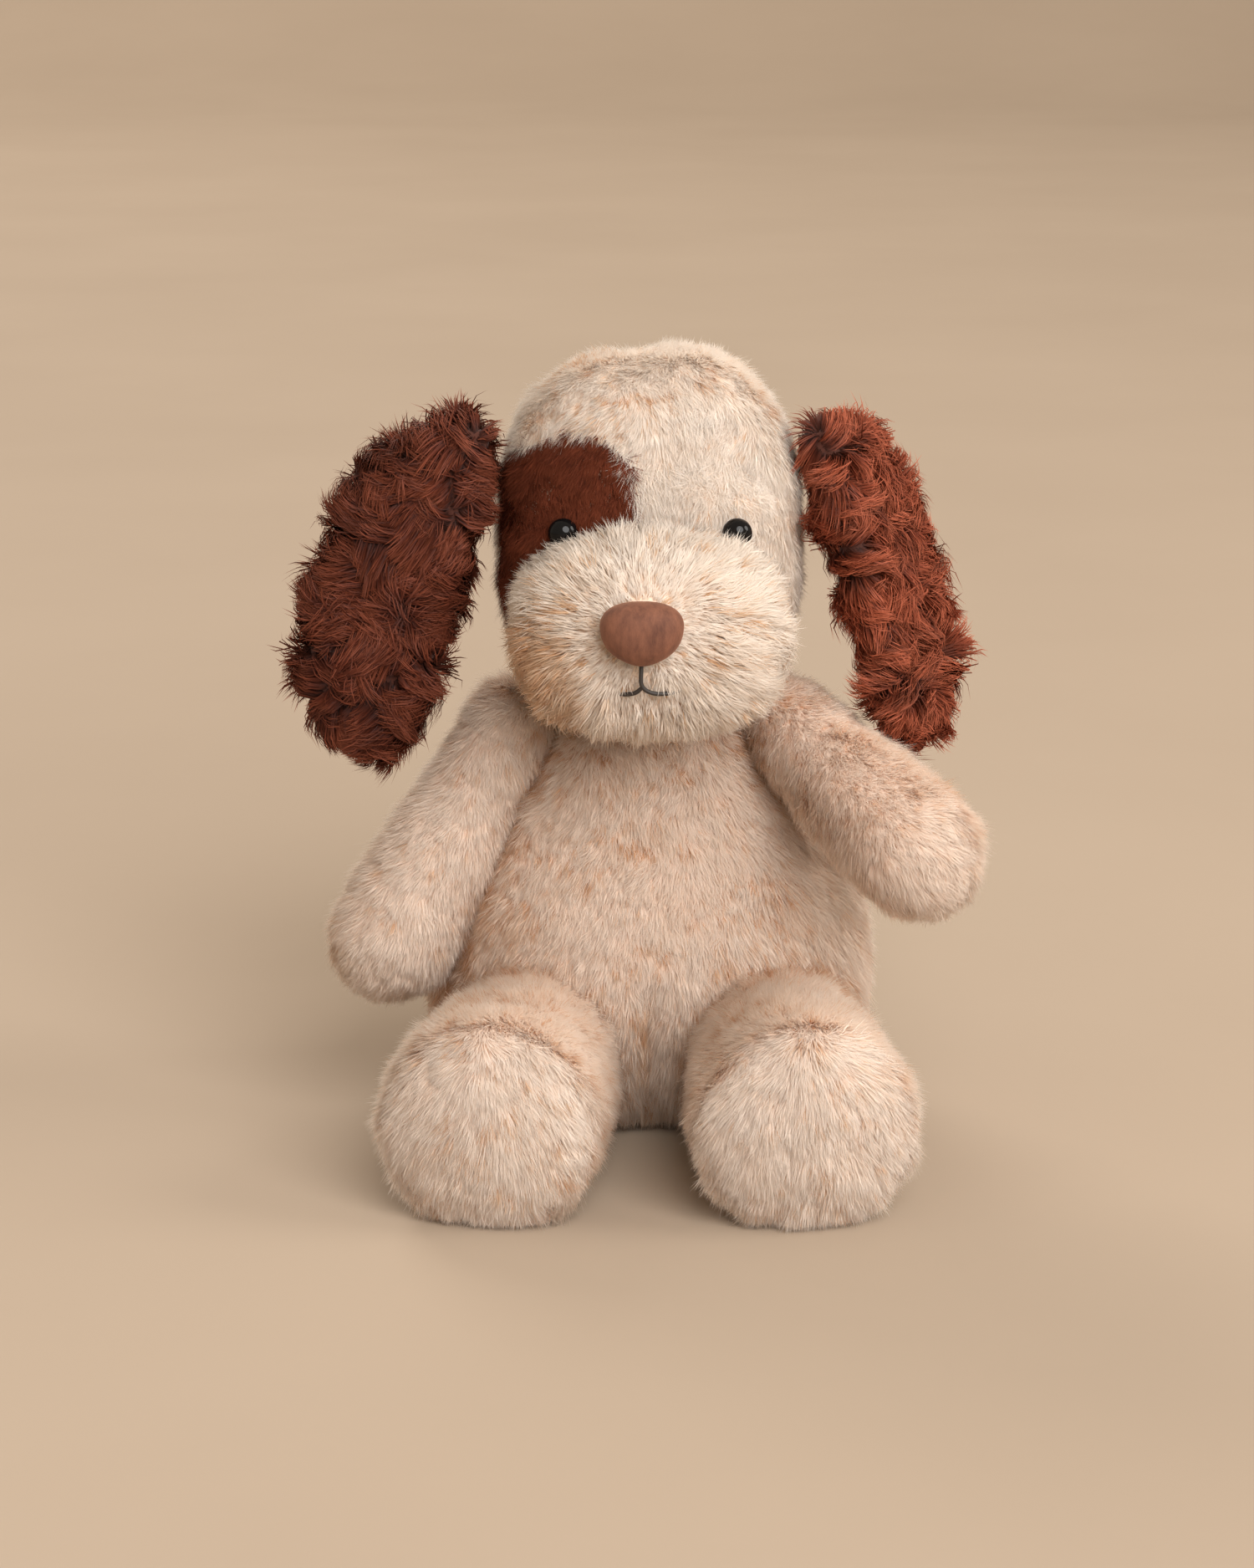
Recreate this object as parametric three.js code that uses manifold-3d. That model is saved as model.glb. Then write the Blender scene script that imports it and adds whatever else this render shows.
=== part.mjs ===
// A sitting plush dog, about 28 cm tall: fur-fabric covers over soft filling, sewn to each other
// at the neck, ears, shoulders, hips and tail.
// Millimetres. X points to the dog's own left, Y to its back, Z up, and it sits on Z = 0.
// A cover's outer face is the fur pressed half down, so loose fur stands a few millimetres proud.
import * as THREE from "three";
import { mergeVertices } from "three/addons/utils/BufferGeometryUtils.js";
import Module from "manifold-3d";

const wasm = await Module();
wasm.setup();

// ---------------------------------------------------------------- driving dimensions

const wall = 6; // backing cloth and half of the pile
const seamGap = 0.5; // between two sewn pieces
const fillGap = 1.2; // between a cover and its filling
const swingGap = 1.1; // more room round a limb's socket than its seam gap, for its swing
const floor = 0;
const farOff = 400; // past every side of the dog

const torso = {
  height: 154,
  hipHeight: 46,
  hipHalfWidth: 82,
  shoulderHalfWidth: 45,
  seatHalfWidth: 58,
  hipDepthRatio: 0.67,
  chestDepthRatio: 0.71,
  centreY: 31,
};
// The side of the pear. rise goes from the hips, 0, to the neck, 1; narrowed from hip to shoulder width.
const pear = {
  seatEdge: { height: 0.4, width: 0.95 },
  ribs: { rise: 0.36, narrowed: 0.12 },
  chest: { rise: 0.6, narrowed: 0.55 },
  shoulderDrop: 15,
  neckWidth: 0.6,
  chestDepth: { from: 0.55, to: 0.92 },
};
const hipHalfDepth = torso.hipHalfWidth * torso.hipDepthRatio;
const beanBag = { height: 20, halfWidth: 29, halfDepth: 17, behindCentre: 11, fullness: 2.3, gap: 0.8 };
const label = { width: 16, length: 22, thickness: 1.2, angle: 45 };

const neck = { ballRadius: 18, stemRadius: 15, depth: 16, forward: 5, rise: 10 };
neck.pivot = new THREE.Vector3(0, torso.centreY - neck.forward, torso.height + neck.rise);

const head = { half: new THREE.Vector3(52.5, 46, 63), fullness: 2.8, forward: 8, sink: 6.5 };
head.centre = new THREE.Vector3(0, neck.pivot.y - head.forward, neck.pivot.z + head.half.z - head.sink);
const muzzle = { half: new THREE.Vector3(45.5, 34, 34), fullness: 2.6, reach: 36 };
const chinZ = head.centre.z - head.half.z;
const faceY = head.centre.y - head.half.y;
muzzle.centre = new THREE.Vector3(0, faceY + muzzle.half.y - muzzle.reach, chinZ + muzzle.half.z);

const nose = { x: -3, rise: 8.5, halfWidth: 13, halfHeight: 10.5, halfDepth: 8, taper: 0.22, seat: 1 };
nose.z = muzzle.centre.z + nose.rise;
const mouth = { threadRadius: 0.7, drop: 9, spread: 8, belowNose: 1.5, lift: 1 };
const eye = { x: 30, rise: 5, domeRadius: 5.2, domeDepth: 0.85, seat: 1, shankRadius: 1.9, shankGap: 0.4 };
const pressedGap = 0.4; // between a face piece and the cloth it is pressed on
eye.z = head.centre.z + eye.rise;
const washer = {
  radius: 6.5,
  thickness: 1.6,
  clearance: 0.3,
  behindCloth: 1.93,
  shankTip: 0.4,
  pocketGap: 1.5,
};
const patch = {
  right: -2,
  aboveEye: 35.5,
  belowEye: 22.5,
  overlap: 7.5,
  reach: 34,
  tip: { width: 6, bow: 4, height: 18 },
  crown: { fromEye: 4, past: 12, sag: 2 },
  outerRise: 21,
};

const ear = {
  length: 131,
  rootWidth: 24,
  width: 49,
  thickness: 13,
  bulge: 5,
  outside: 4.5,
  forward: 18,
  drop: 21.5,
  hingeShare: 0.15,
  hingeOut: 1,
  headGap: 1.3,
};
ear.root = new THREE.Vector3(
  head.half.x + ear.outside,
  head.centre.y - ear.forward,
  head.centre.z + head.half.z - ear.drop,
);
const earPoses = {
  left: { lean: 14, turn: 58 },
  right: { lean: 11, turn: 8 },
};
const earSwing = { forward: 25, back: 20 };

const arm = { rootRadius: 18, pawRadius: 23.5, length: 112, outside: 4, forward: 9, drop: 8 };
const shoulder = {
  x: torso.shoulderHalfWidth + arm.outside,
  y: torso.centreY - arm.forward,
  z: torso.height - arm.drop,
};
const armPoses = {
  left: { toward: new THREE.Vector3(49, -80, -31), down: 40, up: 10 },
  right: { toward: new THREE.Vector3(-53, -27, -90), down: 10, up: 50 },
};

const leg = {
  rootRadius: 31,
  footRadius: 38,
  length: 113,
  dome: 15,
  soleRadius: 30.5,
  soleDepth: 11,
  soleSeam: 4,
  inset: 24,
  lift: 15,
};
leg.soleStart = leg.length - leg.soleDepth;
const hipPoses = {
  left: { x: torso.hipHalfWidth * 0.55, toward: new THREE.Vector3(0.08, -1, 0.03) },
  right: { x: -torso.hipHalfWidth * 0.476, toward: new THREE.Vector3(-0.17, -1, 0.03) },
};
const hip = { y: torso.centreY - hipHalfDepth + leg.inset, z: leg.rootRadius + seamGap };

const tail = { rootRadius: 9, tipRadius: 11, length: 40, sink: 4, rise: 0.5, wag: 30 };
const tailRoot = new THREE.Vector3(0, torso.centreY + hipHalfDepth - tail.sink, torso.hipHeight * 0.74);
const tailToward = new THREE.Vector3(0, 1, tail.rise);

// ---------------------------------------------------------------- colours

function fur(colour) {
  return new THREE.MeshStandardMaterial({ color: colour, roughness: 0.95, metalness: 0 });
}
const creamFur = fur(0xe6cfb0);
const beigeFur = fur(0xd9b996);
const brownFur = fur(0x6b3424);
const curlyFur = fur(0x6f3f2f);
const filling = fur(0xf4f1ea);
const velour = new THREE.MeshStandardMaterial({ color: 0x96604c, roughness: 0.8, metalness: 0 });
const thread = new THREE.MeshStandardMaterial({ color: 0x1e1a18, roughness: 0.7, metalness: 0 });
const blackPlastic = new THREE.MeshStandardMaterial({ color: 0x0b0a0a, roughness: 0.08, metalness: 0 });
const clearPlastic = new THREE.MeshStandardMaterial({ color: 0xe8e6e0, roughness: 0.4, metalness: 0 });
const satin = new THREE.MeshStandardMaterial({ color: 0xf5f3ef, roughness: 0.5, metalness: 0 });

// ---------------------------------------------------------------- solids from three.js geometry

// A closed geometry as a solid. Faces that a pole has pinched to a line are dropped.
function solidOf(geometry) {
  const bare = geometry.clone();
  bare.deleteAttribute("normal");
  bare.deleteAttribute("uv");
  const merged = mergeVertices(bare, 1e-4);
  const corners = merged.index.array;
  const kept = [];
  for (let i = 0; i < corners.length; i += 3) {
    const [a, b, c] = corners.slice(i, i + 3);
    if (a !== b && b !== c && c !== a) kept.push(a, b, c);
  }
  const mesh = new wasm.Mesh({
    numProp: 3,
    vertProperties: new Float32Array(merged.attributes.position.array),
    triVerts: new Uint32Array(kept),
  });
  return new wasm.Manifold(mesh);
}

function geometryOf(solid) {
  const mesh = solid.getMesh();
  const places = [];
  for (let i = 0; i < mesh.numVert; i++) {
    places.push(...mesh.vertProperties.subarray(i * mesh.numProp, i * mesh.numProp + 3));
  }
  const geometry = new THREE.BufferGeometry();
  geometry.setAttribute("position", new THREE.Float32BufferAttribute(places, 3));
  geometry.setIndex([...mesh.triVerts]);
  return geometry;
}

function moved(solid, matrix) {
  return solidOf(geometryOf(solid).applyMatrix4(matrix));
}

// A solid turned about a line through pivot.
function turned(solid, pivot, axis, degrees) {
  const turn = new THREE.Matrix4().makeRotationAxis(axis, THREE.MathUtils.degToRad(degrees));
  const there = new THREE.Matrix4().makeTranslation(-pivot.x, -pivot.y, -pivot.z);
  const back = new THREE.Matrix4().makeTranslation(pivot.x, pivot.y, pivot.z);
  return moved(solid, back.multiply(turn).multiply(there));
}

// limb without what it would run into while it turns through these angles.
function clearOf(limb, blocker, pivot, axis, angles) {
  return angles.reduce((left, angle) => left.subtract(turned(blocker, pivot, axis, -angle)), limb);
}

function block(low, high) {
  const size = high.clone().sub(low);
  const middle = low.clone().add(high).multiplyScalar(0.5);
  return solidOf(new THREE.BoxGeometry(size.x, size.y, size.z).translate(middle.x, middle.y, middle.z));
}

function ball(centre, radius, across = 16, up = 10) {
  return solidOf(new THREE.SphereGeometry(radius, across, up).translate(centre.x, centre.y, centre.z));
}

// A pin or disc along Y from front to back.
function pinAlongY(x, z, radius, front, back, sides = 14) {
  const shape = new THREE.CylinderGeometry(radius, radius, back - front, sides);
  return solidOf(shape.translate(x, (front + back) / 2, z));
}

// An egg that gets boxier as fullness rises over 2.
function plumpForm({ centre, half, fullness }, grow, across, up) {
  const shape = new THREE.SphereGeometry(1, across, up).rotateX(Math.PI / 2);
  const places = shape.attributes.position;
  const point = new THREE.Vector3();
  for (let i = 0; i < places.count; i++) {
    point.fromBufferAttribute(places, i);
    const sum = point.toArray().reduce((all, part) => all + Math.abs(part) ** fullness, 0);
    point.multiplyScalar(sum ** (-1 / fullness));
    point.multiply(half.clone().addScalar(grow)).add(centre);
    places.setXYZ(i, point.x, point.y, point.z);
  }
  return solidOf(shape);
}

// Where the front of such an egg lies at x, z.
function frontOf({ centre, half, fullness }, x, z) {
  const across = Math.abs((x - centre.x) / half.x) ** fullness;
  const up = Math.abs((z - centre.z) / half.z) ** fullness;
  return centre.y - half.y * (1 - across - up) ** (1 / fullness);
}

// A turned form whose axis runs from start along toward. Each outline point is [radius, distance].
function turnedForm(outline, start, toward, sides) {
  const shape = new THREE.LatheGeometry(outline, sides);
  const drawnUp = new THREE.Vector3(0, 1, 0);
  const aim = new THREE.Quaternion().setFromUnitVectors(drawnUp, toward.clone().normalize());
  return solidOf(shape.applyQuaternion(aim).translate(start.x, start.y, start.z));
}

// A round root about the pivot, a swelling body and a domed end, as an outline to turn.
function limbOutline(rootRadius, endRadius, length, dome, grow, steps = 3) {
  const root = rootRadius + grow;
  const end = endRadius + grow;
  const points = [];
  for (let i = 0; i <= steps; i++) {
    const angle = (i / steps - 1) * (Math.PI / 2);
    points.push(new THREE.Vector2(root * Math.cos(angle), root * Math.sin(angle)));
  }
  const shoulderOfEnd = length - dome;
  for (let i = 1; i < steps; i++) {
    const along = i / steps;
    const radius = THREE.MathUtils.lerp(root, end, THREE.MathUtils.smoothstep(along, 0, 1));
    points.push(new THREE.Vector2(radius, shoulderOfEnd * along));
  }
  for (let i = 0; i <= steps; i++) {
    const angle = (i / steps) * (Math.PI / 2);
    points.push(new THREE.Vector2(end * Math.cos(angle), shoulderOfEnd + (dome + grow) * Math.sin(angle)));
  }
  points[0].x = 0;
  points[points.length - 1].x = 0;
  return points;
}

function above(height) {
  const low = new THREE.Vector3(-farOff, -farOff, height);
  return block(low, new THREE.Vector3(farOff, farOff, height + farOff));
}

// ---------------------------------------------------------------- forms

// The pear of the body, wide at the hips, with a flat seat and a flat neck.
function torsoForm(grow, sides = 20) {
  const { height, hipHeight, hipHalfWidth, shoulderHalfWidth, seatHalfWidth } = torso;
  const sideAt = ({ rise, narrowed }) =>
    new THREE.Vector2(
      THREE.MathUtils.lerp(hipHalfWidth, shoulderHalfWidth, narrowed),
      THREE.MathUtils.lerp(hipHeight, height, rise),
    );
  const outline = new THREE.SplineCurve([
    new THREE.Vector2(seatHalfWidth, 0),
    new THREE.Vector2(hipHalfWidth * pear.seatEdge.width, hipHeight * pear.seatEdge.height),
    new THREE.Vector2(hipHalfWidth, hipHeight),
    sideAt(pear.ribs),
    sideAt(pear.chest),
    new THREE.Vector2(shoulderHalfWidth, height - pear.shoulderDrop),
    new THREE.Vector2(shoulderHalfWidth * pear.neckWidth, height),
  ]).getPoints(9);
  const grown = outline.map(({ x, y }) => new THREE.Vector2(x + grow, y - grow + (2 * grow * y) / height));
  const closed = [new THREE.Vector2(0, -grow), ...grown, new THREE.Vector2(0, height + grow)];
  const shape = new THREE.LatheGeometry(closed, sides).rotateX(Math.PI / 2);
  const places = shape.attributes.position;
  for (let i = 0; i < places.count; i++) {
    const { from, to } = pear.chestDepth;
    const up = THREE.MathUtils.smoothstep(places.getZ(i), height * from, height * to);
    const ratio = THREE.MathUtils.lerp(torso.hipDepthRatio, torso.chestDepthRatio, up);
    places.setY(i, torso.centreY + places.getY(i) * ratio);
  }
  return solidOf(shape);
}

const headForm = (grow, across = 18, up = 12) => plumpForm(head, grow, across, up);
const muzzleForm = (grow, across = 16, up = 12) => plumpForm(muzzle, grow, across, up);

function neckForm(grow) {
  const { pivot, ballRadius, stemRadius, depth } = neck;
  const stem = new THREE.CylinderGeometry(stemRadius + grow, stemRadius + grow, depth + grow, 16);
  stem.rotateX(Math.PI / 2).translate(pivot.x, pivot.y, pivot.z - (depth + grow) / 2);
  return ball(pivot, ballRadius + grow).add(solidOf(stem));
}

const shoulderAt = (side) => new THREE.Vector3(side * shoulder.x, shoulder.y, shoulder.z);
const hipAt = (pose) => new THREE.Vector3(pose.x, hip.y, hip.z);

function armForm(side, pose, grow, sides = 12) {
  const outline = limbOutline(arm.rootRadius, arm.pawRadius, arm.length, arm.pawRadius, grow);
  return turnedForm(outline, shoulderAt(side), pose.toward, sides);
}

function legForm(pose, grow, sides = 14) {
  const outline = limbOutline(leg.rootRadius, leg.footRadius, leg.length, leg.dome, grow);
  return turnedForm(outline, hipAt(pose), pose.toward, sides).intersect(above(floor - grow));
}

function tailForm(grow, sides = 10) {
  const outline = limbOutline(tail.rootRadius, tail.tipRadius, tail.length, tail.tipRadius, grow, 3);
  return turnedForm(outline, tailRoot, tailToward, sides);
}

// A drooping flap, hung by the top of its inner edge. Its outline is drawn root up, inner edge at x = 0.
function earForm(side, pose) {
  const { length, rootWidth, width, thickness, bulge } = ear;
  const edge = thickness / 2;
  const flat = 1; // what is left of the thickness between the two rounded edges
  const down = (share) => -length * share;
  const out = (share) => width * share;
  const tip = edge - length;
  const flap = new THREE.Shape();
  flap.moveTo(0, -edge);
  flap.lineTo(0, down(0.3));
  flap.bezierCurveTo(bulge, down(0.55), 0, down(0.85), out(0.4), tip);
  flap.bezierCurveTo(out(0.8), tip, width + bulge, down(0.72), width - edge, down(0.45));
  flap.bezierCurveTo(out(0.8), down(0.2), rootWidth, -edge, 0, -edge);
  const pad = new THREE.ExtrudeGeometry(flap, {
    depth: flat,
    bevelThickness: edge - flat / 2,
    bevelSize: edge,
    bevelSegments: 3,
    curveSegments: 5,
  });
  return hungEar(pad.translate(0, 0, -flat / 2).rotateX(Math.PI / 2), side, pose);
}

// What is drawn for a flat ear facing forward, turned, leant and hung on its side of the head.
function hungEar(geometry, side, pose) {
  geometry.rotateZ(THREE.MathUtils.degToRad(pose.turn));
  geometry.rotateY(THREE.MathUtils.degToRad(-pose.lean));
  const solid = solidOf(geometry.translate(ear.root.x, ear.root.y, ear.root.z));
  return side > 0 ? solid : mirrored(solid);
}

function mirrored(solid) {
  const geometry = geometryOf(solid).applyMatrix4(new THREE.Matrix4().makeScale(-1, 1, 1));
  const corners = geometry.index.array;
  for (let i = 0; i < corners.length; i += 3) {
    [corners[i + 1], corners[i + 2]] = [corners[i + 2], corners[i + 1]];
  }
  return solidOf(geometry);
}

// The nose is a plump pad, narrower at the bottom.
function noseForm() {
  const { x, z, halfWidth, halfHeight, halfDepth, taper, seat } = nose;
  const shape = new THREE.SphereGeometry(1, 18, 10).rotateX(Math.PI / 2);
  const places = shape.attributes.position;
  for (let i = 0; i < places.count; i++) {
    places.setX(i, places.getX(i) * (1 + taper * places.getZ(i)));
  }
  shape.scale(halfWidth, halfDepth, halfHeight);
  return solidOf(shape.translate(x, frontOf(muzzle, x, z) - seat, z));
}

// A thread laid on the muzzle through [x, z] points.
function threadOnMuzzle(points) {
  const lift = mouth.threadRadius + mouth.lift;
  const route = points.map(([x, z]) => new THREE.Vector3(x, frontOf(muzzle, x, z) - lift, z));
  const shape = new THREE.Shape().absarc(0, 0, mouth.threadRadius, 0, Math.PI * 2);
  const extrudePath = new THREE.CatmullRomCurve3(route);
  return solidOf(new THREE.ExtrudeGeometry(shape, { steps: 10, curveSegments: 3, extrudePath }));
}

// The patch seen from the front: round at the top, with a tip that runs to the middle over the muzzle.
function patchPrism(grow) {
  const { tip, crown } = patch;
  const left = -head.half.x - patch.overlap - grow;
  const right = patch.right + grow;
  const top = eye.z + patch.aboveEye + grow;
  const low = eye.z - patch.belowEye - grow;
  const inner = right - tip.width;
  const outline = new THREE.Shape();
  outline.moveTo(right, low);
  outline.lineTo(right, eye.z);
  outline.quadraticCurveTo(right - tip.bow, eye.z + tip.bow, inner, eye.z + tip.height);
  outline.quadraticCurveTo(inner, top, crown.fromEye - eye.x, top);
  outline.quadraticCurveTo(-eye.x - crown.past, top - crown.sag, left, eye.z + patch.outerRise);
  outline.lineTo(left, low);
  const depth = head.half.y * 2;
  const shape = new THREE.ExtrudeGeometry(outline, { depth, bevelEnabled: false, curveSegments: 6 });
  return solidOf(shape.rotateX(Math.PI / 2).translate(0, faceY + patch.reach + grow, 0));
}

// ---------------------------------------------------------------- sewn pieces

// A cover is the form without its hollow, and opens where it is sewn on.
const coverOf = (form) => form(0).subtract(form(-wall));

const arms = [1, -1].map((side) => {
  const pose = side > 0 ? armPoses.left : armPoses.right;
  return { side, pose, pivot: shoulderAt(side), form: (grow, sides) => armForm(side, pose, grow, sides) };
});
const legs = [1, -1].map((side) => {
  const pose = side > 0 ? hipPoses.left : hipPoses.right;
  return { side, pose, pivot: hipAt(pose), form: (grow, sides) => legForm(pose, grow, sides) };
});

const lift = new THREE.Vector3(-1, 0, 0); // a positive turn about it raises a hanging limb forward
const upright = new THREE.Vector3(0, 0, 1);

const joined = (solids) => solids.reduce((all, one) => all.add(one));
const limbSockets = [...arms, ...legs].map((limb) => limb.form(seamGap));
const sockets = joined([neckForm(seamGap).add(tailForm(seamGap)), ...limbSockets]);
const torsoOuter = torsoForm(0).intersect(above(floor));
const torsoCover = torsoOuter.subtract(torsoForm(-wall)).subtract(sockets);

const bag = {
  centre: new THREE.Vector3(0, torso.centreY + beanBag.behindCentre, wall + fillGap),
  half: new THREE.Vector3(beanBag.halfWidth, beanBag.halfDepth, beanBag.height),
  fullness: beanBag.fullness,
};
const bagForm = (grow) => plumpForm(bag, grow, 16, 10);
const beanBagSolid = bagForm(0).intersect(above(wall + fillGap));
const torsoFilling = torsoForm(-wall - fillGap, 16).subtract(sockets).subtract(bagForm(beanBag.gap));

// The torso as a limb meets it when it moves: a little larger, with the socket at rest left open.
const blockerFor = (limb) => torsoForm(seamGap + swingGap, 16).subtract(limb.form(0));
const freeArm = ({ form, pivot, pose }, solid) =>
  clearOf(solid, blockerFor({ form }), pivot, lift, [-pose.down, -pose.down / 2, pose.up / 3, pose.up]);
const freeLeg = ({ form, pivot }, solid) =>
  clearOf(solid, blockerFor({ form }), pivot, lift, [leg.lift / 2, leg.lift]);

// A round hole or disc about a limb's own axis.
function plug({ pivot, pose }, radius, from, to) {
  const corners = [[0, from], [radius, from], [radius, to], [0, to]];
  return turnedForm(corners.map(([r, d]) => new THREE.Vector2(r, d)), pivot, pose.toward, 18);
}

function armPieces(limb) {
  const opening = plug(limb, arm.rootRadius - wall, -arm.rootRadius * 2, 0);
  return {
    cover: freeArm(limb, coverOf(limb.form).subtract(opening)),
    filling: freeArm(limb, limb.form(-wall - fillGap, 10)),
  };
}

function legPieces(limb) {
  const opening = plug(limb, leg.rootRadius - wall, -leg.rootRadius * 2, 0);
  const past = leg.length * 2;
  const soleHole = plug(limb, leg.soleRadius, leg.soleStart - leg.soleSeam, past);
  const solePlug = plug(limb, leg.soleRadius - seamGap, leg.soleStart, past);
  const behindSole = plug(limb, leg.footRadius * 2, leg.soleStart - fillGap, past);
  return {
    cover: freeLeg(limb, coverOf(limb.form).subtract(opening).subtract(soleHole)),
    sole: limb.form(0).intersect(solePlug),
    filling: freeLeg(limb, limb.form(-wall - fillGap, 12).subtract(behindSole)),
  };
}

const tailLimb = { pivot: tailRoot, pose: { toward: tailToward } };
const tailOpening = plug(tailLimb, (tail.rootRadius - wall) * 1.33, -tail.rootRadius * 2, 0);
const tailCover = coverOf(tailForm).subtract(tailOpening);
const tailWags = [-tail.wag, tail.wag];
const freeTail = (solid) => clearOf(solid, blockerFor({ form: tailForm }), tailRoot, upright, tailWags);

// Head: the skull cover is open at the neck and behind the muzzle.
const eyes = [1, -1].map((side) => ({ side, x: side * eye.x, y: frontOf(head, eye.x, eye.z) }));
const innerHead = { ...head, half: head.half.clone().addScalar(-wall) };
const washerFront = frontOf(innerHead, eye.x + washer.radius, eye.z) + washer.behindCloth;
const shankEnd = washerFront + washer.thickness + washer.shankTip;
const eyeBores = (radius, back) => joined(eyes.map(({ x, y }) => pinAlongY(x, eye.z, radius, y - 15, back)));
const shankHoles = eyeBores(eye.shankRadius + eye.shankGap, shankEnd + wall);
const neckSocket = ball(neck.pivot, neck.ballRadius + seamGap);
const skull = headForm(0)
  .subtract(headForm(-wall))
  .subtract(muzzleForm(-wall))
  .subtract(neckSocket)
  .subtract(shankHoles);
const headCover = skull.subtract(patchPrism(seamGap));
const eyePatch = skull.intersect(patchPrism(0));
const muzzleShell = muzzleForm(0).subtract(muzzleForm(-wall));
const muzzleCover = muzzleShell.subtract(headForm(seamGap)).subtract(shankHoles);
const washerPockets = eyeBores(washer.radius + seamGap, shankEnd + washer.pocketGap);
const headFilling = headForm(-wall - fillGap)
  .add(muzzleForm(-wall - fillGap))
  .subtract(neckSocket)
  .subtract(washerPockets);

function eyeSolid({ x, y }) {
  const dome = new THREE.SphereGeometry(eye.domeRadius, 18, 10);
  dome.scale(1, eye.domeDepth, 1).translate(x, y - eye.seat, eye.z);
  const seated = solidOf(dome).subtract(headForm(pressedGap)).subtract(muzzleForm(pressedGap));
  return seated.add(pinAlongY(x, eye.z, eye.shankRadius, y - eye.domeRadius / 2, shankEnd, 16));
}

function washerSolid({ x }) {
  const back = washerFront + washer.thickness;
  const ring = pinAlongY(x, eye.z, washer.radius, washerFront, back);
  return ring.subtract(pinAlongY(x, eye.z, eye.shankRadius + washer.clearance, washerFront - 1, back + 1));
}

const noseBottom = nose.z - nose.halfHeight - mouth.belowNose;
const mouthZ = noseBottom - mouth.drop;
const mouthStitch = threadOnMuzzle([
  [nose.x, noseBottom],
  [nose.x, noseBottom - mouth.drop * 0.5],
  [nose.x + 0.3, mouthZ + 0.6],
  [nose.x + mouth.spread * 0.4, mouthZ - 2],
  [nose.x + mouth.spread, mouthZ - 2.6],
]).add(
  threadOnMuzzle([
    [nose.x, mouthZ + 1.5],
    [nose.x - mouth.spread * 0.4, mouthZ - 1.6],
    [nose.x - mouth.spread * 0.8, mouthZ - 2.4],
  ]),
);

// Ears: two panels sewn round the edge, hung on the sides of the head.
const ears = [1, -1].map((side) => {
  const pose = side > 0 ? earPoses.left : earPoses.right;
  const hingeZ = ear.root.z - ear.length * ear.hingeShare;
  const hinge = new THREE.Vector3(side * (ear.root.x + ear.hingeOut), ear.root.y, hingeZ);
  const backward = upright.clone().multiplyScalar(side);
  const swings = [-earSwing.forward, 0, earSwing.back];
  const pad = clearOf(earForm(side, pose), headForm(ear.headGap), hinge, backward, swings);
  return { side, pose, hinge, pad };
});

// The half of an ear's pad on the side that direction points to.
function earPanel({ pad, side, pose }, direction) {
  const half = new THREE.BoxGeometry(farOff, farOff, farOff);
  half.translate(0, (direction * (farOff + seamGap)) / 2, 0);
  return pad.intersect(hungEar(half, side, pose));
}

// A folded label, sewn into the back seam of the hips by one edge.
const labelTurn = THREE.MathUtils.degToRad(label.angle);
const reachAlong = Math.cos(labelTurn) / torso.hipHalfWidth;
const reachBack = Math.sin(labelTurn) / hipHalfDepth;
const hipReach = 1 / Math.hypot(reachAlong, reachBack);
const labelShape = new THREE.BoxGeometry(label.width, label.thickness, label.length)
  .translate(hipReach + seamGap + label.width / 2, 0, torso.hipHeight)
  .rotateZ(labelTurn)
  .translate(0, torso.centreY, 0);

// ---------------------------------------------------------------- the dog

const dog = new THREE.Group();

// A group whose origin is the joint that its pieces turn about.
function jointGroup(parent, pivot) {
  const group = new THREE.Group();
  group.position.copy(pivot);
  if (parent !== dog) group.position.sub(parent.userData.pivot);
  group.userData.pivot = pivot;
  parent.add(group);
  return group;
}

function addPiece(group, name, solid, material) {
  const { x, y, z } = group.userData.pivot;
  const mesh = new THREE.Mesh(geometryOf(solid).translate(-x, -y, -z), material);
  mesh.geometry.computeVertexNormals();
  mesh.name = name;
  group.add(mesh);
}

const body = jointGroup(dog, new THREE.Vector3(0, 0, 0));
addPiece(body, "torso_cover", torsoCover, beigeFur);
addPiece(body, "torso_filling", torsoFilling, filling);
addPiece(body, "seat_pellet_bag", beanBagSolid, satin);
addPiece(body, "care_label", solidOf(labelShape), satin);

const neckGroup = jointGroup(body, neck.pivot);
addPiece(neckGroup, "neck_filling", neckForm(0), filling);

const headGroup = jointGroup(neckGroup, neck.pivot);
addPiece(headGroup, "head_cover", headCover, creamFur);
addPiece(headGroup, "muzzle_cover", muzzleCover, creamFur);
addPiece(headGroup, "eye_patch", eyePatch, brownFur);
addPiece(headGroup, "head_filling", headFilling, filling);
addPiece(headGroup, "nose_pad", noseForm().subtract(muzzleForm(pressedGap)), velour);
addPiece(headGroup, "mouth_stitch", mouthStitch, thread);
for (const one of eyes) {
  const side = one.side > 0 ? "left" : "right";
  addPiece(headGroup, "eye_" + side, eyeSolid(one), blackPlastic);
  addPiece(headGroup, "eye_washer_" + side, washerSolid(one), clearPlastic);
}
for (const one of ears) {
  const side = one.side > 0 ? "left" : "right";
  const group = jointGroup(headGroup, one.hinge);
  addPiece(group, "ear_" + side + "_front", earPanel(one, -1), curlyFur);
  addPiece(group, "ear_" + side + "_back", earPanel(one, 1), curlyFur);
}
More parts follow.
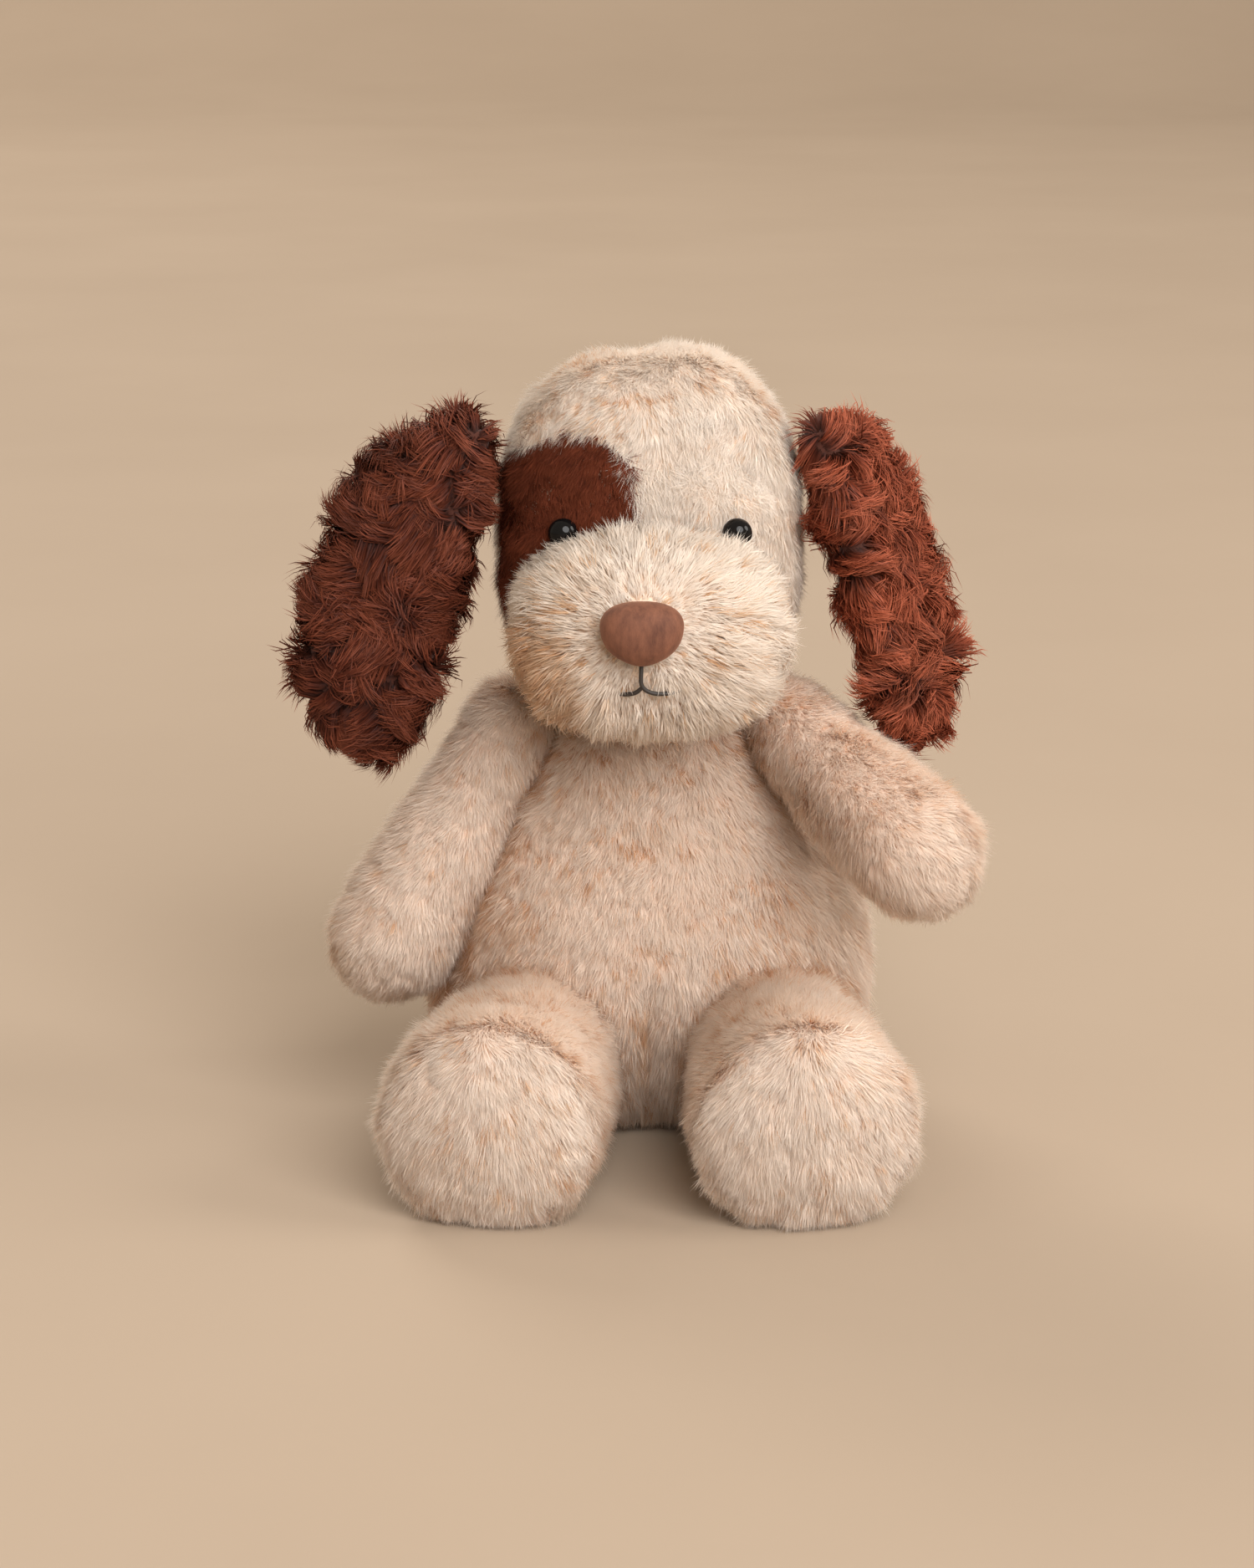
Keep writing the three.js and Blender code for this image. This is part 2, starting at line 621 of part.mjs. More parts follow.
for (const limb of arms) {
  const side = limb.side > 0 ? "left" : "right";
  const group = jointGroup(body, limb.pivot);
  const { cover, filling: inside } = armPieces(limb);
  addPiece(group, "arm_" + side + "_cover", cover, beigeFur);
  addPiece(group, "arm_" + side + "_filling", inside, filling);
}
for (const limb of legs) {
  const side = limb.side > 0 ? "left" : "right";
  const group = jointGroup(body, limb.pivot);
  const { cover, sole, filling: inside } = legPieces(limb);
  addPiece(group, "leg_" + side + "_cover", cover, beigeFur);
  addPiece(group, "foot_" + side + "_sole", sole, creamFur);
  addPiece(group, "leg_" + side + "_filling", inside, filling);
}
const tailGroup = jointGroup(body, tailRoot);
addPiece(tailGroup, "tail_cover", freeTail(tailCover), beigeFur);
addPiece(tailGroup, "tail_filling", freeTail(tailForm(-wall - seamGap, 10)), filling);

// The origin is the middle of the floor area that the dog takes up.
const bounds = new THREE.Box3().setFromObject(dog);
const middle = bounds.getCenter(new THREE.Vector3());
dog.position.set(-middle.x, -middle.y, -bounds.min.z);

const part = new THREE.Group();
part.add(dog);
export default part;
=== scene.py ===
"""A sitting plush dog: stuffed covers with a deep pile, long curled ears and a velour nose.

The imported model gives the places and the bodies. Every stuffed skin is swollen by cloth pressure,
and its pile is grown on it as tapered blades of fibre that follow the nap.
"""

import math

import bmesh
import bpy
import numpy as np
from mathutils import Matrix, Vector


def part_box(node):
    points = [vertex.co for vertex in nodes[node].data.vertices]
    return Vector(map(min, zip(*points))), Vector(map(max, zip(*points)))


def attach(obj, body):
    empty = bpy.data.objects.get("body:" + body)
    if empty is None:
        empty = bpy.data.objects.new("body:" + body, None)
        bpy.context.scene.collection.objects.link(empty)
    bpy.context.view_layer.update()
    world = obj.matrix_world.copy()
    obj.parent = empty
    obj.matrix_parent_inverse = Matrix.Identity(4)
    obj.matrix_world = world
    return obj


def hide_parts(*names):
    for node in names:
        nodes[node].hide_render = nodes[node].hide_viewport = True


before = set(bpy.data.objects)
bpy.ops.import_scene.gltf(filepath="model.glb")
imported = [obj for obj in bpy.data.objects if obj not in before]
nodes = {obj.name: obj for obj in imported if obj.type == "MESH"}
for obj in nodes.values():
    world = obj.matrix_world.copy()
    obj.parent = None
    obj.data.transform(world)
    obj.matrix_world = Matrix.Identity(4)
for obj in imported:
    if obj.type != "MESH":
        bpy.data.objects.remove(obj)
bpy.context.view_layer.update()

MM = 0.001


def middle(node):
    low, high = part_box(node)
    return (low + high) / 2


# The dog's own frame: x = 0 between the eyes, y = 0 under the front of the hips, z = 0 on the floor.
NECK_Y = 26
ORIGIN = Vector(
    (
        (middle("eye_left").x + middle("eye_right").x) / 2,
        middle("neck_filling").y - NECK_Y * MM,
        0,
    )
)


def at(x, y, z):
    """A place on the dog, in millimetres of its own frame, as a point in metres."""
    return ORIGIN + Vector((x, y, z)) * MM


# ---------------------------------------------------------------- mesh helpers


def link(name, mesh):
    obj = bpy.data.objects.new(name, mesh)
    bpy.context.scene.collection.objects.link(obj)
    return obj


def places(mesh):
    co = np.empty(len(mesh.vertices) * 3)
    mesh.vertices.foreach_get("co", co)
    return co.reshape(-1, 3)


def set_places(mesh, co):
    mesh.vertices.foreach_set("co", np.ascontiguousarray(co, np.float32).ravel())
    mesh.update()


def normals_of(mesh):
    out = np.empty(len(mesh.vertices) * 3)
    mesh.vertices.foreach_get("normal", out)
    return out.reshape(-1, 3)


def shade_smooth(mesh):
    mesh.polygons.foreach_set("use_smooth", np.ones(len(mesh.polygons), bool))


def bake_modifiers(obj):
    """Makes what the modifiers give the object's own mesh."""
    graph = bpy.context.evaluated_depsgraph_get()
    made = bpy.data.meshes.new_from_object(obj.evaluated_get(graph))
    old = obj.data
    obj.modifiers.clear()
    obj.data = made
    bpy.data.meshes.remove(old)
    return obj


def remesh(obj, voxel=0.005):
    mod = obj.modifiers.new("even faces", "REMESH")
    mod.mode = "VOXEL"
    mod.voxel_size = voxel
    return bake_modifiers(obj)


def subdivide(obj, levels=1):
    mod = obj.modifiers.new("smooth", "SUBSURF")
    mod.levels = levels
    mod.render_levels = levels
    return bake_modifiers(obj)


def unit(v):
    return v / np.maximum(np.linalg.norm(v, axis=-1, keepdims=True), 1e-12)


def smoothstep(x, low, high):
    t = np.clip((x - low) / (high - low), 0, 1)
    return t * t * (3 - 2 * t)


class Ripple:
    """A smooth field with no pattern, from -1 to 1, made of waves about one length long."""

    def __init__(self, seed, length, waves=9):
        rng = np.random.default_rng(seed)
        way = unit(rng.normal(size=(waves, 3)))
        self.wave = way * (2 * math.pi / length) * rng.uniform(0.6, 1.5, (waves, 1))
        self.phase = rng.uniform(0, 2 * math.pi, waves)

    def __call__(self, p):
        return np.sin(p @ self.wave.T + self.phase).sum(-1) / math.sqrt(len(self.phase))


# ---------------------------------------------------------------- stuffed skins


def smooth_line(points, count=120):
    """Evenly spaced points on a smooth curve through the given ones."""
    p = np.array(points, float)
    p = np.vstack([2 * p[0] - p[1], p, 2 * p[-1] - p[-2]])
    out = []
    for i in range(1, len(p) - 2):
        t = np.linspace(0, 1, 24, endpoint=False)[:, None]
        a, b, c, d = p[i - 1], p[i], p[i + 1], p[i + 2]
        curve = 2 * b + (c - a) * t
        curve = curve + (2 * a - 5 * b + 4 * c - d) * t**2 + (3 * b - a - 3 * c + d) * t**3
        out.append(0.5 * curve)
    line = np.vstack(out + [p[-2:-1]])
    run = np.concatenate([[0], np.cumsum(np.linalg.norm(np.diff(line, axis=0), axis=1))])
    even = np.linspace(0, run[-1], count)
    return np.stack([np.interp(even, run, line[:, k]) for k in range(line.shape[1])], 1)


def mesh_from(name, bm):
    """Ends a bmesh as a mesh of that name."""
    mesh = bpy.data.meshes.new(name)
    bm.to_mesh(mesh)
    bm.free()
    return mesh


def round_ball(name):
    bm = bmesh.new()
    bmesh.ops.create_icosphere(bm, subdivisions=5, radius=1)
    return mesh_from(name, bm)


def turned_skin(name, outline, start, toward, shape=None, up=(0, 0, 1)):
    """A ball drawn out along a line. outline is (radius, distance) in millimetres, from end to end."""
    mesh = round_ball(name)
    ball = places(mesh)
    line = smooth_line(outline)
    share = np.arccos(np.clip(-ball[:, 2], -1, 1)) / math.pi
    step = np.linspace(0, 1, len(line))
    radius = np.maximum(np.interp(share, step, line[:, 0]), 0)
    along = np.interp(share, step, line[:, 1])
    turn = np.arctan2(ball[:, 1], ball[:, 0])
    local = np.stack([radius * np.cos(turn), radius * np.sin(turn), along], 1)
    if shape is not None:
        local = shape(local)
    axis = Vector(toward).normalized()
    side = axis.cross(Vector(up)).normalized()
    over = side.cross(axis).normalized()
    basis = np.array([side, over, axis])
    set_places(mesh, np.array(start) + (local * MM) @ basis)
    obj = link(name, mesh)
    face_out(obj)
    return obj


def face_out(obj):
    bm = bmesh.new()
    bm.from_mesh(obj.data)
    bmesh.ops.remove_doubles(bm, verts=bm.verts, dist=1e-6)
    bmesh.ops.recalc_face_normals(bm, faces=bm.faces)
    bm.to_mesh(obj.data)
    bm.free()


def plump_skin(name, centre, half, fullness, shape=None):
    """An egg that gets boxier as fullness rises over 2. Sizes are in millimetres of the dog's frame."""
    mesh = round_ball(name)
    ball = places(mesh)
    ball *= (np.abs(ball) ** fullness).sum(1, keepdims=True) ** (-1 / fullness)
    local = ball * np.array(half)
    if shape is not None:
        local = shape(local)
    set_places(mesh, (local + np.array(centre)) * MM + np.array(ORIGIN))
    obj = link(name, mesh)
    face_out(obj)
    return obj


def stuff(obj, cap, held=None, voxel=0.005, pressure=4.0, frames=20):
    """Swells a skin with cloth pressure, moving no point further than cap metres.

    held(points) says how firmly each point is sewn down, from 0 to 1.
    """
    remesh(obj, voxel)
    mesh = obj.data
    start = places(mesh)
    firm = np.zeros(len(start)) if held is None else held(start)
    group = obj.vertex_groups.new(name="sewn")
    for i in np.nonzero(firm > 0.01)[0]:
        group.add([int(i)], float(firm[i]), "REPLACE")
    mod = obj.modifiers.new("pressure", "CLOTH")
    cloth = mod.settings
    cloth.quality = 4
    cloth.use_pressure = True
    cloth.uniform_pressure_force = pressure
    cloth.vertex_group_mass = "sewn"
    cloth.effector_weights.gravity = 0
    cloth.tension_stiffness = 8
    cloth.compression_stiffness = 8
    cloth.bending_stiffness = 0.6
    mod.point_cache.frame_start = 1
    mod.point_cache.frame_end = frames
    scene = bpy.context.scene
    for step in range(1, frames + 1):
        scene.frame_set(step)
    graph = bpy.context.evaluated_depsgraph_get()
    swollen = places(obj.evaluated_get(graph).data).copy()
    scene.frame_set(1)
    obj.modifiers.clear()
    move = swollen - start
    reach = np.linalg.norm(move, axis=1, keepdims=True)
    move *= np.minimum(1, cap / np.maximum(reach, 1e-9))
    set_places(mesh, start + move)
    subdivide(obj)
    shade_smooth(obj.data)
    return obj


def press_seam(obj, line, depth, width):
    """Draws a skin in along a sewn line: points of the dog's frame, in millimetres."""
    line = smooth_line(line) * MM + np.array(ORIGIN)
    co = places(obj.data)
    near = np.full(len(co), 1e9)
    for point in line:
        near = np.minimum(near, np.linalg.norm(co - point, axis=1))
    pull = depth * MM * np.exp(-((near / (width * MM)) ** 2))
    set_places(obj.data, co - normals_of(obj.data) * pull[:, None])


def keep_off_floor(obj, height=0.0012):
    co = places(obj.data)
    co[:, 2] = np.maximum(co[:, 2], height)
    set_places(obj.data, co)


# ---------------------------------------------------------------- pile


# Large odd numbers that scatter whole numbers evenly, so that every tuft gets its own.
SCATTER_X, SCATTER_Y, SCATTER_Z, SCATTER_SEED = 73856093, 19349663, 83492791, 2654435761
SCATTER_BY, SCATTER_ADD, SCATTER_TUFT = 1103515245, 12345, 40503
LOW_31, LOW_32 = 0x7FFFFFFF, 0xFFFFFFFF


def scattered(number):
    return (number * SCATTER_BY + SCATTER_ADD) & LOW_31


def tuft_centres(points, size, seed):
    """For each point the middle of the tuft it belongs to, and a number that tells tufts apart."""
    cell = np.floor(points / size).astype(np.int64)
    best = np.full(len(points), 1e9)
    centre = np.zeros_like(points)
    tag = np.zeros(len(points), np.int64)
    for step in np.ndindex(3, 3, 3):
        here = cell + np.array(step) - 1
        mixed = (here[:, 0] * SCATTER_X) ^ (here[:, 1] * SCATTER_Y) ^ (here[:, 2] * SCATTER_Z)
        mixed = scattered((mixed ^ (seed * SCATTER_SEED)) & LOW_32)
        jitter = np.stack([(mixed >> k) & 0x3FF for k in (3, 11, 19)], 1) / 1023.0
        spot = (here + jitter) * size
        far = ((points - spot) ** 2).sum(1)
        closer = far < best
        best[closer] = far[closer]
        centre[closer] = spot[closer]
        tag[closer] = mixed[closer]
    return centre, tag


def per_tuft(tag, seed, size):
    """Random numbers from -1 to 1 that are the same all over a tuft."""
    out = []
    for k in range(size):
        mixed = scattered((tag * (2 * k + 3) + (seed + 17 * k) * SCATTER_TUFT) & LOW_31)
        out.append(((mixed >> 7) & 0xFFFF) / 32767.5 - 1)
    return np.stack(out, 1)


MIDDLE_SHADE = 0.62  # the tint of a common fibre, between the rusty flecks at 0 and the palest at 1
STRIP = 0.004  # half the width that a fibre takes on its map
CHART_EDGE = 0.03  # what the fibres keep clear of at the map's edges
# Shares of the skin's, the blade's, the wisp's and the tip's own direction in a fibre's shading.
OF_SKIN, OF_BLADE, OF_LOCK, OF_TIP = 0.8, 0.35, 0.3, 0.2
ROOT_DEPTH = 0.6  # how far under the backing a fibre is rooted, in millimetres
FLOOR_GAP = 0.0004  # how far the pile stays over the floor, in metres


def grow_pile(
    name,
    skin,
    body,
    slot,
    material,
    count,
    length,
    nap,
    seed,
    keep=None,
    lean=(66, 66),
    steps=1,
    width=0.46,
    tuft=9,
    wisp=2.6,
    gather=0.5,
    mess=0.25,
    stray=0.15,
    loose=0.2,
    curl=0.0,
    fan=0.0,
    blunt=0.35,
    bunch=0.0,
    tint=None,
):
    """Grows fibres on a skin.

    length(points) is in millimetres; nap(points, normals) is the way the pile lies; keep(points,
    normals) says where it grows. Each fibre leans from lean[0] to lean[1] degrees off upright, in
    that many steps. width, tuft and wisp are in millimetres. gather and bunch draw the tips of a wisp
    and of a tuft together, fan spreads them. mess, stray and loose turn tufts, wisps and single
    fibres off the nap, curl winds them. tint(points, normals) adds to the shade.
    """
    rng = np.random.default_rng(seed)
    mesh = skin.data
    mesh.calc_loop_triangles()
    corners = np.empty(len(mesh.loop_triangles) * 3, np.int64)
    mesh.loop_triangles.foreach_get("vertices", corners)
    corners = corners.reshape(-1, 3)
    co, no = places(mesh), normals_of(mesh)
    a, b, c = (co[corners[:, k]] for k in range(3))
    if keep is not None:
        mid = (a + b + c) / 3
        some = unit(no[corners].mean(1))
        wanted = keep(mid, some)
        corners, a, b, c = corners[wanted], a[wanted], b[wanted], c[wanted]
    area = np.linalg.norm(np.cross(b - a, c - a), axis=1) / 2
    run = np.cumsum(area)
    pick = np.searchsorted(run, (np.arange(count) + rng.random(count)) / count * run[-1])
    pick = np.minimum(pick, len(run) - 1)
    u, v = rng.random(count), rng.random(count)
    flip = u + v > 1
    u[flip], v[flip] = 1 - u[flip], 1 - v[flip]
    w = 1 - u - v
    share = np.stack([w, u, v], 1)[:, :, None]
    root = (co[corners[pick]] * share).sum(1)
    normal = unit((no[corners[pick]] * share).sum(1))
    if keep is not None:
        stay = keep(root, normal)
        root, normal = root[stay], normal[stay]
    n = len(root)

    # Big tufts share the way they lie; within one, small wisps draw together at their tips.
    centre, tag = tuft_centres(root, tuft * MM, seed)
    outward = root - centre
    own = per_tuft(tag, seed, 5)
    centre, tag = tuft_centres(root, wisp * MM, seed + 7)
    toward = centre - root
    toward -= normal * (toward * normal).sum(1, keepdims=True)
    round_lock = -unit(toward)
    toward = toward * gather - (outward - normal * (outward * normal).sum(1, keepdims=True)) * bunch
    small = per_tuft(tag, seed + 3, 4)
    way = unit(nap(root, normal)) + mess * own[:, :3] + stray * small[:, :3]
    way = way + loose * rng.normal(size=(n, 3)) + fan * outward / (tuft * MM)
    way -= normal * (way * normal).sum(1, keepdims=True)
    way = unit(way)
    size = length(root) * MM * rng.uniform(0.72, 1.12, n) * (1 + 0.1 * own[:, 3] + 0.1 * small[:, 3])

    spin = curl * own[:, 0] * (1 + 0.15 * rng.normal(size=n))
    lift_off = np.radians(9 * rng.normal(size=n) + 8 * small[:, 1])
    spot = root - normal * ROOT_DEPTH * MM
    line = [spot]
    heads = []
    for i in range(steps):
        part = (i + 0.5) / steps
        angle = math.radians(lean[0] + (lean[1] - lean[0]) * i / max(steps - 1, 1)) + lift_off
        turn = spin * part
        lie = way * np.cos(turn)[:, None] + np.cross(normal, way) * np.sin(turn)[:, None]
        head = normal * np.cos(angle)[:, None] + lie * np.sin(angle)[:, None]
        heads.append(head)
        spot = spot + head * (size / steps)[:, None]
        line.append(spot + toward * ((i + 1) / steps) ** 1.4)
    line = [np.column_stack([p[:, 0], p[:, 1], np.maximum(p[:, 2], FLOOR_GAP)]) for p in line]

    roll = rng.normal(0, 0.35, n)[:, None]
    thick = width * MM * rng.uniform(0.8, 1.25, n)[:, None] / 2
    verts, soft = [], []
    for i in range(steps):
        head = heads[min(i, steps - 1)]
        across = unit(np.cross(head, normal))
        lift = np.cross(across, head)
        across = across * np.cos(roll) + lift * np.sin(roll)
        slim = 1 - (1 - blunt) * (i / steps) ** 2
        verts += [line[i] - across * thick * slim, line[i] + across * thick * slim]
        facing = unit(np.cross(across, head))
        both = unit(normal * OF_SKIN + facing * OF_BLADE + round_lock * OF_LOCK)
        soft += [both, both]
    verts.append(line[steps])
    soft.append(unit(normal * OF_SKIN + heads[-1] * OF_TIP + round_lock * OF_LOCK))
    per = 2 * steps + 1
    all_verts = np.stack(verts, 1).reshape(-1, 3)
    all_soft = np.stack(soft, 1).reshape(-1, 3)
    quads = [[2 * i, 2 * i + 1, 2 * i + 3, 2 * i + 2] for i in range(steps - 1)]
    blade = np.array(sum(quads, []) + [2 * steps - 2, 2 * steps - 1, 2 * steps])
    loops = (blade[None, :] + per * np.arange(n)[:, None]).ravel()
    sizes = np.tile(np.array([4] * (steps - 1) + [3]), n)
    starts = np.concatenate([[0], np.cumsum(sizes)[:-1]])

    out = bpy.data.meshes.new(name)
    out.vertices.add(len(all_verts))
    out.vertices.foreach_set("co", all_verts.astype(np.float32).ravel())
    out.loops.add(len(loops))
    out.loops.foreach_set("vertex_index", loops.astype(np.int32))
    out.polygons.add(len(sizes))
    out.polygons.foreach_set("loop_start", starts.astype(np.int32))
    out.polygons.foreach_set("use_smooth", np.ones(len(sizes), bool))
    out.update(calc_edges=True)

    # Each fibre takes a narrow upright strip of the map: its shade across, root to tip upwards.
    shade = MIDDLE_SHADE + 0.05 * rng.normal(size=n) + 0.08 * own[:, 4] + 0.08 * small[:, 3]
    if tint is not None:
        shade = shade + tint(root, normal)
    shade = np.clip(shade, CHART_EDGE, 1 - CHART_EDGE)
    u_of = np.empty((n, per))
    v_of = np.empty((n, per))
    for i in range(steps):
        u_of[:, 2 * i], u_of[:, 2 * i + 1] = shade - STRIP, shade + STRIP
        v_of[:, 2 * i] = v_of[:, 2 * i + 1] = CHART_EDGE + (1 - 2 * CHART_EDGE) * i / steps
    u_of[:, -1], v_of[:, -1] = shade, 1 - CHART_EDGE
    chart = out.uv_layers.new(name="OFBake")
    on_chart = np.stack([u_of.ravel()[loops], v_of.ravel()[loops]], 1)
    chart.data.foreach_set("uv", on_chart.astype(np.float32).ravel())
    out.normals_split_custom_set_from_vertices(all_soft.astype(np.float32))
    out.materials.append(material)
    obj = link(name, out)
    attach(obj, body)
    return obj


# ---------------------------------------------------------------- materials


def new_material(name):
    mat = bpy.data.materials.new(name)
    mat.use_nodes = True
    tree = mat.node_tree
    return mat, tree, tree.nodes["Principled BSDF"]


def linear(r, g, b):
    """A colour as a paint chart gives it, 0 to 255, as light."""
    def one(c):
        return ((c / 255 + 0.055) / 1.055) ** 2.4 if c > 10 else c / 255 / 12.92

    return (one(r), one(g), one(b), 1)


def noise_of(tree, scale, detail=2.0, stretch=None):
    """A noise texture on the object's own places, squeezed along its axes if asked."""
    place = tree.nodes.new("ShaderNodeTexCoord").outputs["Object"]
    if stretch is not None:
        mapping = tree.nodes.new("ShaderNodeMapping")
        mapping.inputs["Scale"].default_value = stretch
        tree.links.new(place, mapping.inputs[0])
        place = mapping.outputs[0]
    noise = tree.nodes.new("ShaderNodeTexNoise")
    noise.inputs["Scale"].default_value = scale
    noise.inputs["Detail"].default_value = detail
    tree.links.new(place, noise.inputs["Vector"])
    return noise


def two_tone(tree, shader, value, low, high, start=0.3, end=0.7):
    """Colours a shader from low to high as a value goes from start to end."""
    ramp = tree.nodes.new("ShaderNodeValToRGB")
    for stop, position, colour in zip(ramp.color_ramp.elements, (start, end), (low, high)):
        stop.position = position
        stop.color = colour
    tree.links.new(value, ramp.inputs[0])
    tree.links.new(ramp.outputs[0], shader.inputs["Base Color"])


def add_bump(tree, shader, height, strength, distance):
    bump = tree.nodes.new("ShaderNodeBump")
    bump.inputs["Strength"].default_value = strength
    bump.inputs["Distance"].default_value = distance
    tree.links.new(height, bump.inputs["Height"])
    tree.links.new(bump.outputs[0], shader.inputs["Normal"])


def pile_material(name, root, body, tip, shades, sheen=0.2, rough=0.9, through=0.35):
    """Pile that goes from a deeper root colour to its tip. Light comes through it as well as off it.

    shades are the tints of the fibres from the rusty flecks, at 0, to the palest, at 1.
    """
    mat, tree, shader = new_material(name)
    chart = tree.nodes.new("ShaderNodeUVMap")
    chart.uv_map = "OFBake"
    split = tree.nodes.new("ShaderNodeSeparateXYZ")
    tree.links.new(chart.outputs["UV"], split.inputs[0])
    along = tree.nodes.new("ShaderNodeValToRGB")
    ramp = along.color_ramp
    ramp.elements[0].position, ramp.elements[0].color = 0.0, linear(*root)
    ramp.elements[1].position, ramp.elements[1].color = 1.0, linear(*tip)
    ramp.elements.new(0.5).color = linear(*body)
    tree.links.new(split.outputs["Y"], along.inputs[0])
    across = tree.nodes.new("ShaderNodeValToRGB")
    across.color_ramp.elements[0].color = shades[0] + (1,)
    across.color_ramp.elements[1].color = shades[-1] + (1,)
    for i, shade in enumerate(shades[1:-1], 1):
        across.color_ramp.elements.new(i / (len(shades) - 1)).color = shade + (1,)
    tree.links.new(split.outputs["X"], across.inputs[0])
    mix = tree.nodes.new("ShaderNodeMix")
    mix.data_type = "RGBA"
    mix.blend_type = "MULTIPLY"
    mix.inputs["Factor"].default_value = 1
    tree.links.new(along.outputs[0], mix.inputs["A"])
    tree.links.new(across.outputs[0], mix.inputs["B"])
    tree.links.new(mix.outputs["Result"], shader.inputs["Base Color"])
    shader.inputs["Roughness"].default_value = rough
    shader.inputs["Specular IOR Level"].default_value = 0.25
    shader.inputs["Sheen Weight"].default_value = sheen
    shader.inputs["Sheen Roughness"].default_value = 0.5
    shader.inputs["Sheen Tint"].default_value = linear(*tip)
    glow = tree.nodes.new("ShaderNodeBsdfTranslucent")
    tree.links.new(mix.outputs["Result"], glow.inputs["Color"])
    blend = tree.nodes.new("ShaderNodeMixShader")
    blend.inputs[0].default_value = through
    tree.links.new(shader.outputs[0], blend.inputs[1])
    tree.links.new(glow.outputs[0], blend.inputs[2])
    tree.links.new(blend.outputs[0], tree.nodes["Material Output"].inputs["Surface"])
    return mat


def backing_material(name, colour, grain=900.0):
    """Knitted backing cloth under the pile."""
    mat, tree, shader = new_material(name)
    noise = noise_of(tree, grain, 3)
    deep = tuple(c * 0.7 for c in linear(*colour)[:3]) + (1,)
    two_tone(tree, shader, noise.outputs[0], deep, linear(*colour))
    add_bump(tree, shader, noise.outputs[0], 0.3, 0.0005)
    shader.inputs["Roughness"].default_value = 0.95
    shader.inputs["Sheen Weight"].default_value = 0.2
    return mat


# Tints of the fibres, from the flecks to the palest.
PALE_SHADES = [
    (0.72, 0.46, 0.28),
    (0.87, 0.7, 0.54),
    (0.97, 0.94, 0.91),
    (1.0, 1.0, 1.0),
    (1.02, 1.02, 1.02),
]
DARK_SHADES = [
    (0.45, 0.4, 0.36),
    (0.72, 0.7, 0.68),
    (0.95, 0.95, 0.95),
    (1.15, 1.15, 1.15),
    # the top stop is there for the painted light on the dog's left ear
    (2.1, 2.15, 2.25),
]


def pale_pile(name, root, body, tip):
    return pile_material(name, root, body, tip, PALE_SHADES, through=0.5)


beige_pile = pale_pile("beige_pile", (228, 190, 158), (243, 226, 211), (248, 238, 228))
cream_pile = pale_pile("cream_pile", (237, 214, 192), (245, 236, 226), (248, 242, 236))
muzzle_pile = pale_pile("muzzle_pile", (232, 203, 175), (240, 230, 219), (244, 237, 229))
foot_pile = pale_pile("foot_pile", (234, 202, 174), (247, 234, 222), (251, 243, 235))
patch_pile = pile_material(
    "patch_pile", (58, 22, 10), (98, 43, 23), (120, 60, 37), DARK_SHADES, through=0.2
)
# The ear pile's near-black root colour is painted shade for the gaps between its locks.
ear_pile = pile_material(
    "ear_pile", (28, 10, 4), (86, 35, 18), (148, 80, 56), DARK_SHADES, sheen=0.1, rough=0.65, through=0.2
)
beige_back = backing_material("beige_backing", (226, 184, 146))
cream_back = backing_material("cream_backing", (238, 214, 192))
brown_back = backing_material("brown_backing", (78, 36, 22))

# ---------------------------------------------------------------- sizes of the dog, in millimetres

SINK = 2.0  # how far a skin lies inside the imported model's outer face

head_centre = np.array((0, 18, 220.5))
head_half = np.array((52.5, 46, 63)) - SINK
HEAD_FULL, HEAD_REACH_FULL = 2.8, 2.7  # how boxy the head is, and how boxy it counts for its neighbours
muzzle_centre = np.array((0, -30, 191.5))
muzzle_half = np.array((45.5, 34, 34)) - SINK
MUZZLE_FULL = 2.6
nose_at = np.array((-3, -64, 200))
eye_x, eye_z = 30, 225.5
neck_at = np.array((0, NECK_Y, 164))
torso_y = 31
tail_at, tail_toward = (0, 81.94, 34.04), np.array((0, 1, 0.5))
TORSO_TALL = 154
TORSO_FLAT = 0.67  # depth over width at the hips
CHEST_FLAT = 0.71  # and at the shoulders
ARM_ROOT, ARM_END, ARM_LONG = 18, 23.5, 112
LEG_ROOT, LEG_END, LEG_LONG, LEG_DOME = 31, 38, 113, 15
ARM_SIZE = (ARM_ROOT, ARM_END, 88)  # radii and straight length, for what lies next to an arm
LEG_SIZE = (LEG_ROOT, LEG_END, LEG_LONG - LEG_DOME)

shoulder = {1: np.array((49, 22, 146)), -1: np.array((-49, 22, 146))}
arm_toward = {1: np.array((49, -80, -31.0)), -1: np.array((-53, -27, -90.0))}
hip = {1: np.array((45.1, 0.06, 31.5)), -1: np.array((-39.0, 0.06, 31.5))}
leg_toward = {1: np.array((0.08, -1, 0.03)), -1: np.array((-0.17, -1, 0.03))}
side_name = {1: "left", -1: "right"}


def dog_mm(points):
    """Points in metres as millimetres of the dog's own frame."""
    return (points - np.array(ORIGIN)) / MM


def plump_depth(points, centre, half, fullness=HEAD_REACH_FULL):
    """Below 1 inside a plump egg."""
    return (np.abs((dog_mm(points) - centre) / half) ** fullness).sum(1)


def limb_depth(points, start, toward, root, end, length):
    """How many millimetres a point lies outside a limb, and how far along it."""
    axis = toward / np.linalg.norm(toward)
    p = dog_mm(points) - start
    along = np.clip(p @ axis, 0, length)
    radius = root + (end - root) * smoothstep(along, 0, length)
    return np.linalg.norm(p - along[:, None] * axis, axis=1) - radius, p @ axis


